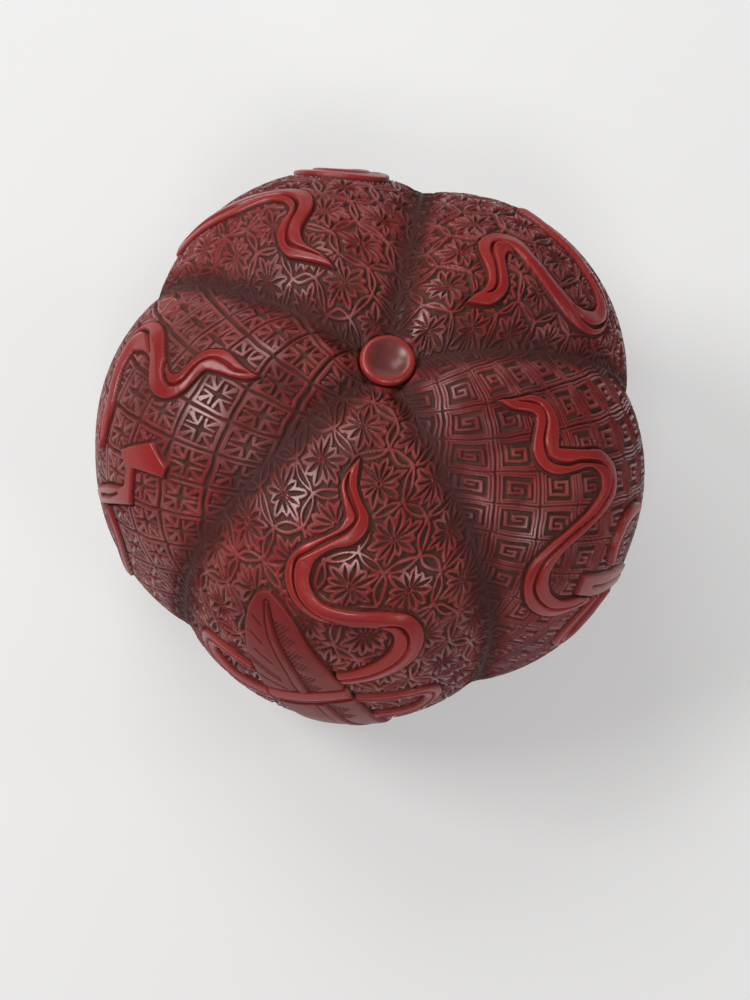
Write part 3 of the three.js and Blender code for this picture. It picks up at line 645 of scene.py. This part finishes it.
# A grid of columns round the axis and rows along a profile, wrapped onto the melon
def wrappedGrid(name, columns, rows, place, sides=False, corners=()):
    deselectAll()
    bpy.ops.mesh.primitive_grid_add(x_subdivisions=columns, y_subdivisions=rows, size=2)
    piece = bpy.context.object
    piece.name = name
    mesh = piece.data
    flat = np.empty(len(mesh.vertices) * 3)
    mesh.vertices.foreach_get("co", flat)
    grid = flat.reshape(-1, 3)
    column = np.rint((grid[:, 0] + 1) / 2 * columns).astype(int)
    row = np.rint((grid[:, 1] + 1) / 2 * rows).astype(int)
    points, layers = place(column, row)
    mesh.vertices.foreach_set("co", (points * mm).ravel())
    for layer, values in layers.items():
        vector = values.ndim > 1
        attribute = mesh.attributes.new(layer, "FLOAT_VECTOR" if vector else "FLOAT", "POINT")
        attribute.data.foreach_set("vector" if vector else "value", values.astype(np.float32).ravel())
    bpy.ops.object.shade_smooth()

    def pick(chosen):
        mesh.vertices.foreach_set("select", chosen)
        mesh.edges.foreach_set("select", np.zeros(len(mesh.edges), bool))
        mesh.polygons.foreach_set("select", np.zeros(len(mesh.polygons), bool))
        bpy.ops.object.mode_set(mode="EDIT")
        bpy.ops.mesh.select_mode(type="VERT")
        bpy.ops.mesh.mark_sharp()

    for corner in corners:
        pick(row == corner)
        bpy.ops.object.mode_set(mode="OBJECT")
    if sides:
        for border in (0, columns):
            pick(column == border)
            bpy.ops.mesh.edge_face_add()
            bpy.ops.object.mode_set(mode="OBJECT")
    bpy.ops.object.mode_set(mode="EDIT")
    bpy.ops.mesh.select_all(action="SELECT")
    bpy.ops.mesh.remove_doubles(threshold=2e-6)
    bpy.ops.mesh.normals_make_consistent(inside=False)
    bpy.ops.object.mode_set(mode="OBJECT")
    return piece


coat = {
    "columns": 288,
    "lidRows": 312,
    "baseColumns": 220,
    "baseRows": 150,
    "crownRows": 6,
    "crownDown": 5.8,  # the rows are wider apart this far down from the crown, under the button
    "innerRows": 12,
    "thickness": 2.4,
    "seamGap": 0.05,
    "buttonSeat": 33,
    "seatRadius": 5.8,
    "seatMargin": 0.8,  # the carving starts this far outside the button's seat
    "seatSlope": 1.2,
    "creaseWidth": 1.5,  # beside a groove, the relief turns to stay in the plane between two lobes
    "footOpening": 29.5,
    "footStep": 4,
}


def unit(vectors):
    return vectors / np.maximum(np.linalg.norm(vectors, axis=-1, keepdims=True), 1e-12)


# One lobe of a carved coat: outer rows down the carved face, then the plain rows of its rim and inside
def coatLobe(name, lobe, number, columns, downs, plain, closed):
    carvedAngles = angleAtDown(downs)
    middle = number * lobePitch
    rows = len(downs) + len(plain) - (0 if closed else 1)

    def place(column, row):
        turn = (column / columns - 0.5) * lobePitch
        if closed:
            row = row % rows
        outer = row < len(downs)
        angle = np.where(outer, carvedAngles[np.minimum(row, len(downs) - 1)], 0)
        radius, height = section(angle)
        back = plain[np.clip(row - len(downs), 0, len(plain) - 1)]
        radius, height = np.where(outer, radius, back[:, 0]), np.where(outer, height, back[:, 1])
        way = middle + turn
        points = melonPoint(way, radius, height)
        small = 1e-4
        inLobe = middle + turn * 0.999  # just inside, so that a border column has its own lobe's slope
        alongTurn = onMelon(inLobe + small, angle) - onMelon(inLobe - small, angle)
        alongDown = onMelon(way, angle - small) - onMelon(way, angle + small)
        level = np.stack([np.cos(way), np.sin(way), 0 * way], -1)
        border = (lobePitch / 2 - np.abs(turn)) * radius
        inPlane = (1 - np.clip(border / coat["creaseWidth"], 0, 1))[:, None]
        square = unit(np.cross(alongDown, alongTurn))
        sideways = np.abs(np.sum(square * level, axis=-1))
        slope = sideways / np.sqrt(1 - np.clip(sideways, 0, 0.95) ** 2)
        toGroove = np.clip(carving["grooveRound"] - border, 0, None)
        fillet = slope * toGroove ** 2 / (2 * carving["grooveRound"])
        normal = unit(square * (1 - inPlane) + unit(np.cross(alongDown, level)) * inPlane)
        relief, ribbon, edge, shade = carve(lobe, acrossAt(turn, angle), downAtAngle(angle))
        fade = ramp(border - carving["grooveFade"] / 2, carving["grooveFade"])
        deep = ramp(border - carving["shallowTo"], carving["shallowSlope"])
        fade = fade * (carving["shallowShare"] + (1 - carving["shallowShare"]) * deep)
        fade = np.where(border < 0.02, 0, fade)
        seat = ramp(radius - coat["seatRadius"] - coat["seatMargin"], coat["seatSlope"]) * outer
        relief = (relief * fade + carving["grooveLevel"] * (1 - fade)) * seat
        points = points + normal * (relief + fillet * seat)[:, None]
        floor = coat["buttonSeat"] + melon["widestAboveFoot"]
        under = outer & (radius < coat["seatRadius"])
        points[under, 2] = np.minimum(points[under, 2], floor)
        # Mask for the grooves' darker colour and duller gloss: partly wear, partly painted shade in the
        # crease
        wearAndShade = np.clip(1 - border / carving["wearAndShadeWidth"], 0, 1)
        return points, {"relief": relief, "ribbon": ribbon * fade, "edge": edge * fade * seat, "wearAndShade": wearAndShade,
                        "shade": shade, "outward": normal}

    corners = (0, len(downs) - 1, len(downs), rows)
    return wrappedGrid(name, columns, rows, place, True, corners)


def innerProfile(angleFrom, angleTo, inset, steps):
    return np.stack(section(np.linspace(angleFrom, angleTo, steps + 1), inset), -1)


lidEdge = melon["seam"] + coat["seamGap"] / 2
baseEdge = melon["seam"] - coat["seamGap"] / 2
inset = coat["thickness"]

lidDowns = np.concatenate([
    np.linspace(0, coat["crownDown"], coat["crownRows"], endpoint=False),
    np.linspace(coat["crownDown"], downAtAngle(angleAtHeight(lidEdge)), coat["lidRows"]),
])
lidInside = innerProfile(angleAtHeight(lidEdge, inset), math.pi / 2, inset, coat["innerRows"])
lidInside[-1, 0] = 0

baseDowns = np.linspace(
    downAtAngle(angleAtHeight(baseEdge)), downAtAngle(angleAtHeight(melon["footCut"])), coat["baseRows"])
outerFoot = section(np.array(angleAtHeight(melon["footCut"])))[0]
footRows = [
    (outerFoot - coat["footStep"], melon["footCut"]),
    (coat["footOpening"], melon["footCut"]),
    (coat["footOpening"], melon["footCut"] + inset),
]
baseInside = np.vstack([
    footRows,
    innerProfile(angleAtHeight(melon["footCut"] + inset, inset), angleAtHeight(baseEdge, inset), inset,
                 coat["innerRows"]),
])

coatPieces = []
for number, lobe in enumerate(lobes):
    lidPiece = coatLobe("lid_coat_" + lobe["name"], lobe, number, coat["columns"], lidDowns, lidInside,
                        False)
    basePiece = coatLobe("base_coat_" + lobe["name"], lobe, number, coat["baseColumns"], baseDowns,
                         baseInside, True)
    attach(lidPiece, "lid")
    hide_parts("lid_carved_coat")
    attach(basePiece, "base")
    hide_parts("base_carved_coat")
    for piece in (lidPiece, basePiece):
        coatPieces.append(piece)
    print("carved lobe", lobe["name"])

# Turned stem button: radius and height over its seat, from the neck round the rim into the dish
button = {
    "bottom": 33.3,
    "sides": 96,
    "profile": [(0, 0), (4.2, 0), (4.5, 0.08), (4.95, 0.35), (5.26, 0.75), (5.38, 1.1), (5.36, 1.45),
                (5.2, 1.8), (4.92, 2.06), (4.55, 2.18), (4.15, 2.16), (3.7, 2.0), (3.2, 1.76), (2.6, 1.5),
                (1.9, 1.28), (1, 1.14), (0, 1.1)],
}
buttonCurve = smoothCurve(button["profile"][1:-1], 4)
buttonRows = np.vstack([[button["profile"][0]], buttonCurve, [button["profile"][-1]]])


def placeButton(column, row):
    turn = column / button["sides"] * 2 * math.pi
    radius, height = buttonRows[row, 0], buttonRows[row, 1]
    z = height + button["bottom"] + melon["widestAboveFoot"]
    return np.stack([radius * np.cos(turn), radius * np.sin(turn), z], -1), {}


stemButton = wrappedGrid("stem_button_turned", button["sides"], len(buttonRows) - 1, placeButton)
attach(stemButton, "lid")
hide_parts("stem_button")


# A lobed ring or shell from a closed or axis-to-axis profile of radii and heights
def lobedPiece(name, profile, body, node, columns=160):
    rows = np.array(profile, float)

    def place(column, row):
        turn = column / columns * 2 * math.pi
        return melonPoint(turn, rows[row, 0], rows[row, 1]), {}

    piece = wrappedGrid(name, columns, len(rows) - 1, place)
    deselectAll()
    piece.select_set(True)
    bpy.context.view_layer.objects.active = piece
    bpy.ops.object.shade_smooth_by_angle(angle=math.radians(50))
    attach(piece, body)
    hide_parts(node)
    return piece


def wallProfile(outer, inner, low, high, steps=3):
    outside, inside = (innerProfile(angleAtHeight(low, depth), angleAtHeight(high, depth), depth, steps)
                       for depth in (outer, inner))
    loop = np.vstack([outside, inside[::-1]])
    return np.vstack([loop, loop[:1]])


# The plain shells, by how deep they lie under the coat's face; their edges keep the solids' gap at the seam
shells = {"lining": (5.6, 6.4), "band": (2.7, 6.4), "bandHeight": 0.8, "gap": 0.3, "lip": (6.7, 8.3),
          "lipLow": -14, "lipHigh": -1}
outerLining, innerLining = shells["lining"]
lidSolidEdge, baseSolidEdge = melon["seam"] + shells["gap"] / 2, melon["seam"] - shells["gap"] / 2
overBand = shells["bandHeight"] + shells["gap"]
lidCore, baseCore = lidSolidEdge + overBand, baseSolidEdge - overBand


def domeProfile(depth, edge, steps=28):
    profile = innerProfile(angleAtHeight(edge, depth), math.pi / 2, depth, steps)
    profile[-1, 0] = 0
    return profile


def bowlProfile(depth, edge, steps=24):
    floor = melon["footCut"] + depth
    wall = innerProfile(angleAtHeight(floor, depth), angleAtHeight(edge, depth), depth, steps)
    return np.vstack([[(0, floor), (wall[0, 0] * 0.5, floor), (wall[0, 0] - 0.6, floor)], wall])


blackPieces = [
    lobedPiece("lid_lining_shell", np.vstack([domeProfile(innerLining, lidCore)[::-1],
                                              domeProfile(outerLining, lidCore)]), "lid", "lid_lining"),
    lobedPiece("base_lining_shell", np.vstack([bowlProfile(innerLining, baseCore),
                                               bowlProfile(outerLining, baseCore)[::-1]]), "base",
               "base_lining"),
    lobedPiece("lid_rim", wallProfile(*shells["band"], lidSolidEdge, lidSolidEdge + shells["bandHeight"]),
               "lid", "lid_rim_band"),
    lobedPiece("base_rim", wallProfile(*shells["band"], baseSolidEdge - shells["bandHeight"], baseSolidEdge),
               "base", "base_rim_band"),
    lobedPiece("inner_lip", wallProfile(*shells["lip"], shells["lipLow"], shells["lipHigh"], 8), "base",
               "base_lip"),
]

foot = {"outer": 31.5, "band": 4, "low": -39, "high": -37.5, "round": 0.3, "panelIn": 0.3, "panelBevel": 0.6,
        "panelAbove": 2.4}


def flatProfile(outer, inner, low, high, soft):
    loop = [(inner + soft, low), (outer - soft, low), (outer, low + soft), (outer, high - soft),
            (outer - soft, high), (inner + soft, high), (inner, high - soft), (inner, low + soft)]
    return loop + loop[:1]


footRim = flatProfile(foot["outer"], foot["outer"] - foot["band"], foot["low"], foot["high"], foot["round"])
blackPieces.append(lobedPiece("foot_rim", footRim, "base", "foot_ring"))
panelEdge = foot["outer"] - foot["band"] - shells["gap"]
panelLow, panelTop = foot["low"] + foot["panelIn"], melon["footCut"] + foot["panelAbove"]
blackPieces.append(lobedPiece(
    "foot_plate", [(0, panelLow), (panelEdge - foot["panelBevel"], panelLow),
                   (panelEdge, foot["low"] + foot["panelBevel"]), (panelEdge, panelTop), (0, panelTop)],
    "base", "foot_panel"))
print("pieces made")


def srgb(red, green, blue):
    shares = [value / 255 for value in (red, green, blue)]
    linear = [((share + 0.055) / 1.055) ** 2.4 if share > 0.04 else share / 12.92 for share in shares]
    return linear + [1]


sockets = {"specular": "Specular IOR Level", "ior": "IOR", "roughness": "Roughness", "coat": "Coat Weight",
           "coatRoughness": "Coat Roughness"}


# A material and the few kinds of node that it is built from. A Mix node takes vectors at sockets 4 and 5 and
# colours at 6 and 7
class Finish:
    def __init__(self, name):
        self.material = bpy.data.materials.new(name)
        self.material.use_nodes = True
        self.nodes = self.material.node_tree.nodes
        self.links = self.material.node_tree.links
        self.shader = self.nodes["Principled BSDF"]

    def add(self, kind, **values):
        node = self.nodes.new(kind)
        for key, value in values.items():
            setattr(node, key, value)
        return node

    def link(self, source, target):
        self.links.new(source, target)

    def colour(self, source):
        self.link(source, self.shader.inputs["Base Color"])

    def put(self, **values):
        for key, value in values.items():
            self.shader.inputs[sockets[key]].default_value = value

    # The coat shines along an attribute's direction at a share of 1, and along the surface's own at 0
    def shineAlong(self, name, share):
        outward = self.add("ShaderNodeAttribute", attribute_name=name)
        turned = self.add("ShaderNodeVectorTransform", vector_type="NORMAL", convert_from="OBJECT",
                          convert_to="WORLD")
        self.link(outward.outputs["Vector"], turned.inputs[0])
        mixed = self.add("ShaderNodeMix", data_type="VECTOR")
        self.link(share, mixed.inputs[0])
        self.link(self.shader.inputs["Normal"].links[0].from_socket, mixed.inputs[4])
        self.link(turned.outputs[0], mixed.inputs[5])
        even = self.add("ShaderNodeVectorMath", operation="NORMALIZE")
        self.link(mixed.outputs[1], even.inputs[0])
        self.link(even.outputs[0], self.shader.inputs["Coat Normal"])

    def attribute(self, name):
        return self.add("ShaderNodeAttribute", attribute_name=name).outputs["Fac"]

    # The piece's own place in metres, split into x, y and z
    def placeApart(self):
        place = self.add("ShaderNodeTexCoord")
        apart = self.add("ShaderNodeSeparateXYZ")
        self.link(place.outputs["Object"], apart.inputs[0])
        return apart.outputs

    def noise(self, scale, detail=3, rough=0.5, stretch=(1, 1, 1)):
        place = self.add("ShaderNodeTexCoord")
        mapping = self.add("ShaderNodeMapping")
        mapping.inputs["Scale"].default_value = stretch
        self.link(place.outputs["Object"], mapping.inputs["Vector"])
        node = self.add("ShaderNodeTexNoise")
        node.inputs["Scale"].default_value = scale
        node.inputs["Detail"].default_value = detail
        node.inputs["Roughness"].default_value = rough
        self.link(mapping.outputs["Vector"], node.inputs["Vector"])
        return node.outputs["Fac"]

    def range(self, source, low, high, toLow=0, toHigh=1):
        node = self.add("ShaderNodeMapRange", interpolation_type="SMOOTHSTEP")
        for key, value in (("From Min", low), ("From Max", high), ("To Min", toLow), ("To Max", toHigh)):
            node.inputs[key].default_value = value
        self.link(source, node.inputs["Value"])
        return node.outputs["Result"]

    # A colour is a tone of three numbers up to 255, or a socket
    def blend(self, first, second, share):
        node = self.add("ShaderNodeMix", data_type="RGBA")
        for socket, value in ((node.inputs[6], first), (node.inputs[7], second)):
            if isinstance(value, tuple):
                socket.default_value = srgb(*value)
            else:
                self.link(value, socket)
        self.link(share, node.inputs[0])
        return node.outputs[2]

    def combine(self, operation, first, second):
        node = self.add("ShaderNodeMath", operation=operation)
        for socket, value in zip(node.inputs, (first, second)):
            if isinstance(value, (int, float)):
                socket.default_value = value
            else:
                self.link(value, socket)
        return node.outputs[0]

    def scaled(self, source, share):
        return self.combine("MULTIPLY", source, share)

    def bump(self, height, strength, distance):
        node = self.add("ShaderNodeBump")
        node.inputs["Strength"].default_value = strength
        node.inputs["Distance"].default_value = distance
        self.link(height, node.inputs["Height"])
        self.link(node.outputs["Normal"], self.shader.inputs["Normal"])


# Ground, tops and ribbons each wander between two tones
redTones = {
    "ground": [(70, 45, 39), (90, 58, 50)],
    "top": [(103, 25, 28), (130, 32, 30)],
    "dullTop": (96, 34, 36),
    # The pale edge tones are partly rubbed wear and partly painted highlight
    "rubbedAndHighlightTop": (172, 98, 92),
    "ribbon": [(136, 24, 25), (152, 33, 29)],
    "rubbedAndHighlightRibbon": (180, 96, 88),
    "slot": (52, 26, 22),
    "shaded": (56, 24, 22),
    # The tone near the grooves between lobes is partly wear and partly painted shade in the crease
    "wornAndShaded": (64, 38, 34),
}


def carvedLacquer():
    look = Finish("carvedRedLacquer")
    relief, ribbon = look.attribute("relief"), look.attribute("ribbon")
    edge, wearAndShade, shade = look.attribute("edge"), look.attribute("wearAndShade"), look.attribute("shade")
    patch, small = look.noise(60, 3), look.noise(230, 2)
    fine = look.noise(900, 4, 0.6)
    ground = look.blend(*redTones["ground"], look.range(small, 0.3, 0.7))
    top = look.blend(*redTones["top"], look.range(patch, 0.35, 0.65))
    top = look.blend(top, redTones["dullTop"], look.scaled(look.range(small, 0.5, 0.75), 0.6))
    # Pale lines along the cut edges and rims: partly rubbed wear, partly painted highlight
    rubbed = look.combine("MULTIPLY", edge, look.range(look.noise(150, 3), 0.4, 0.62, 0.05, 0.4))
    top = look.blend(top, redTones["rubbedAndHighlightTop"], rubbed)
    red = look.blend(*redTones["ribbon"], look.range(patch, 0.3, 0.7))
    body = look.blend(ground, top, look.range(relief, -0.68, -0.4))
    # Darker near the grooves between lobes: partly wear, partly painted shade in the crease
    body = look.blend(body, redTones["wornAndShaded"], look.scaled(look.range(wearAndShade, 0.1, 0.9), 0.85))
    strand = look.blend(redTones["slot"], red, look.range(relief, -0.25, 0.3))
    strand = look.blend(strand, redTones["shaded"], look.scaled(shade, 0.85))
    # The ribbons' pale edges are likewise partly rubbed wear and partly painted highlight
    strand = look.blend(strand, redTones["rubbedAndHighlightRibbon"], look.scaled(edge, 0.22))
    look.colour(look.blend(body, strand, look.range(ribbon, 0.35, 0.75)))
    rough = look.combine("ADD", look.range(relief, -0.5, 0.1, 0.6, 0.42), look.scaled(fine, 0.08))
    look.link(rough, look.shader.inputs["Roughness"])
    # The gloss goes in the cut ground, and fades in slots, near the grooves and where a form is darkened
    gloss = look.range(relief, -0.5, -0.1, 0.04, 0.9)
    slotted = look.combine("SUBTRACT", ribbon, relief)
    for dull in (look.range(slotted, 0.5, 0.85, 1, 0.1), look.range(wearAndShade, 0.02, 0.5, 1, 0.14),
                 look.range(ribbon, 0.2, 0.8, 1, 0.64), look.range(shade, 0, 0.5, 1, 0.3)):
        gloss = look.combine("MULTIPLY", gloss, dull)
    look.link(gloss, look.shader.inputs["Coat Weight"])
    look.put(coatRoughness=0.24, specular=0.15, ior=1.5)
    uneven = look.combine("ADD", look.scaled(small, 2.5), fine)
    look.bump(uneven, 0.5, 0.0001)
    polished = look.combine("SUBTRACT", look.range(relief, -0.4, -0.12), look.scaled(ribbon, 0.9))
    look.shineAlong("outward", look.combine("MAXIMUM", polished, 0))
    return look.material


buttonTones = {"dish": [(96, 42, 40), (112, 48, 45)], "rim": [(150, 40, 38), (166, 50, 45)],
               "dishTo": 0.0034, "rimFrom": 0.0056}


def polishedLacquer():
    look = Finish("polishedRedLacquer")
    x, y, _ = look.placeApart()
    square = look.combine("ADD", look.combine("MULTIPLY", x, x), look.combine("MULTIPLY", y, y))
    radius = look.combine("SQRT", square, 0)
    patch = look.noise(140, 4)
    dish = look.blend(*buttonTones["dish"], look.range(patch, 0.35, 0.65))
    rim = look.blend(*buttonTones["rim"], look.range(patch, 0.35, 0.65))
    ragged = look.combine("ADD", radius, look.scaled(patch, 0.0008))
    look.colour(look.blend(dish, rim, look.range(ragged, buttonTones["dishTo"], buttonTones["rimFrom"])))
    look.link(look.combine("ADD", look.scaled(patch, 0.15), 0.28), look.shader.inputs["Roughness"])
    look.put(specular=0.3, coat=0.4, coatRoughness=0.22)
    look.bump(look.noise(900, 3), 0.15, 0.0001)
    return look.material


def blackLacquer():
    look = Finish("blackLacquer")
    patch = look.noise(45, 4)
    rubbed = look.noise(260, 3, 0.6, (1, 1, 6))
    look.colour(look.blend((26, 20, 18), (40, 28, 24), look.range(patch, 0.35, 0.7)))
    look.link(look.range(rubbed, 0.3, 0.7, 0.22, 0.34), look.shader.inputs["Roughness"])
    look.put(coat=0.4, coatRoughness=0.12)
    look.bump(rubbed, 0.08, 0.0001)
    return look.material


def coreWood():
    look = Finish("coreWood")
    rings = look.add("ShaderNodeTexWave", wave_type="RINGS", rings_direction="X")
    place = look.add("ShaderNodeTexCoord")
    look.link(place.outputs["Object"], rings.inputs["Vector"])
    rings.inputs["Scale"].default_value = 160
    rings.inputs["Distortion"].default_value = 3
    grain = look.noise(500, 5, 0.6, (0.15, 1, 1))
    colour = look.blend((206, 172, 128), (176, 136, 92), look.range(rings.outputs["Fac"], 0.2, 0.9))
    look.colour(look.blend(colour, (150, 112, 74), look.scaled(look.range(grain, 0.55, 0.8), 0.4)))
    look.link(look.range(grain, 0.2, 0.8, 0.6, 0.8), look.shader.inputs["Roughness"])
    look.bump(grain, 0.2, 0.0002)
    return look.material


carvedRed, polishedRed = carvedLacquer(), polishedLacquer()
blackFinish, woodFinish = blackLacquer(), coreWood()


def dress(piece, material):
    piece.data.materials.clear()
    piece.data.materials.append(material)


for piece in coatPieces:
    dress(piece, carvedRed)
dress(stemButton, polishedRed)
for piece in blackPieces:
    dress(piece, blackFinish)
slotFinish = {"carved_lacquer": carvedRed, "polished_lacquer": polishedRed, "black_lacquer": blackFinish,
              "core_wood": woodFinish}
nodeSlots = {part["node"]: part["material_slot"] for part in frame["record"]["subparts"]}
for node, solid in frame["nodes"].items():
    for slot in solid.material_slots:
        slot.link = "OBJECT"
        slot.material = slotFinish[nodeSlots[node]]
print("finishes on")

# The floor's own glow, seen only by the camera and in reflections, keeps it pale while its shadow stays. Its
# colour is painted a little darker towards the right front, a painted shade falling away from the window
studio = {"floorSize": 6, "near": (206, 205, 204), "far": (187, 186, 185), "nearTo": -0.22, "farFrom": 0.28,
          "glow": 0.32, "world": 0.15}


def paleFloor():
    look = Finish("paleFloor")
    x, y, _ = look.placeApart()
    away = look.combine("SUBTRACT", x, y)
    away = look.combine("ADD", away, look.scaled(look.noise(3, 3), 0.06))
    # Painted shade: the floor's colour darkens towards the right front, away from the window
    share = look.range(away, studio["nearTo"], studio["farFrom"])
    look.colour(look.blend(studio["near"], studio["far"], share))
    look.put(roughness=0.9, specular=0.1)
    seen = look.add("ShaderNodeLightPath")
    direct = look.combine("MAXIMUM", seen.outputs["Is Camera Ray"], seen.outputs["Is Glossy Ray"])
    direct = look.combine("MAXIMUM", direct, seen.outputs["Is Transmission Ray"])
    look.shader.inputs["Emission Color"].default_value = (1, 1, 1, 1)
    look.link(look.scaled(direct, studio["glow"]), look.shader.inputs["Emission Strength"])
    return look.material


deselectAll()
bpy.ops.mesh.primitive_plane_add(size=studio["floorSize"])
floor = bpy.context.object
floor.name = "floor"
floor.data.materials.append(paleFloor())

# The camera was fitted to the photo's outline; centreAt is where the box's axis meets its widest level there
view = {
    "turn": 1.34,
    "lift": 63.88,
    "roll": 10.03,
    "distance": 0.655,
    "lens": 117,
    "sensor": 36,
    "imageHeight": 1000,
    "imageWidth": 750,
    "centreAt": (373.7, 438.5),
}
lift, turnSide = math.radians(view["lift"]), math.radians(view["turn"])
target = Vector((0, 0, melon["widestAboveFoot"] * mm))
toCamera = Vector((math.sin(turnSide) * math.cos(lift), -math.cos(turnSide) * math.cos(lift), math.sin(lift)))
plainRight = Vector((math.cos(turnSide), math.sin(turnSide), 0))
plainUp = toCamera.cross(plainRight)
roll = math.radians(view["roll"])
right = plainRight * math.cos(roll) + plainUp * math.sin(roll)
up = plainUp * math.cos(roll) - plainRight * math.sin(roll)
focal = view["lens"] / view["sensor"] * view["imageHeight"]
sideways = (view["centreAt"][0] - view["imageWidth"] / 2) / focal
upward = (view["imageHeight"] / 2 - view["centreAt"][1]) / focal
back = (toCamera + right * sideways + up * upward).normalized()
right = (right - back * right.dot(back)).normalized()
up = back.cross(right)
bpy.ops.object.camera_add()
camera = bpy.context.object
camera.data.lens = view["lens"]
camera.data.sensor_fit = "VERTICAL"
camera.data.sensor_height = view["sensor"]
camera.data.sensor_width = view["sensor"]
camera.data.clip_start = 0.01
place = target + toCamera * view["distance"]
camera.matrix_world = Matrix((
    (right.x, up.x, back.x, place.x),
    (right.y, up.y, back.y, place.y),
    (right.z, up.z, back.z, place.z),
    (0, 0, 0, 1),
))
bpy.context.scene.camera = camera

# Lamps by their turn round the box and height over the floor, in degrees, and distance and size in metres
lamps = [
    {"name": "windowLeft", "turn": 188, "lift": 48, "distance": 1.5, "size": (0.62, 0.42), "power": 10.3},
    {"name": "windowBack", "turn": 132, "lift": 50, "distance": 1.5, "size": (0.8, 0.6), "power": 6},
    {"name": "windowFront", "turn": -88, "lift": 50, "distance": 1.6, "size": (0.36, 0.32), "power": 5.6},
    {"name": "windowCorner", "turn": -40, "lift": 30, "distance": 1.6, "size": (0.34, 0.26), "power": 2.8},
    {"name": "windowRight", "turn": 10, "lift": 34, "distance": 1.7, "size": (0.34, 0.3), "power": 1.3},
    {"name": "paleWall", "turn": 96, "lift": 16, "distance": 1.8, "size": (1.6, 0.7), "power": 2},
]
for lamp in lamps:
    turn, rise = math.radians(lamp["turn"]), math.radians(lamp["lift"])
    way = Vector((math.cos(turn) * math.cos(rise), math.sin(turn) * math.cos(rise), math.sin(rise)))
    bpy.ops.object.light_add(type="AREA", location=target + way * lamp["distance"])
    light = bpy.context.object
    light.name = lamp["name"]
    light.rotation_euler = way.to_track_quat("Z", "Y").to_euler()
    light.data.shape = "RECTANGLE"
    light.data.size, light.data.size_y = lamp["size"]
    light.data.energy = lamp["power"]

world = bpy.context.scene.world or bpy.data.worlds.new("studio")
bpy.context.scene.world = world
world.use_nodes = True
backdrop = world.node_tree.nodes["Background"].inputs
backdrop["Color"].default_value = (1, 1, 1, 1)
backdrop["Strength"].default_value = studio["world"]
bpy.context.scene.view_settings.view_transform = "Standard"
print("floor, camera and lamps set")
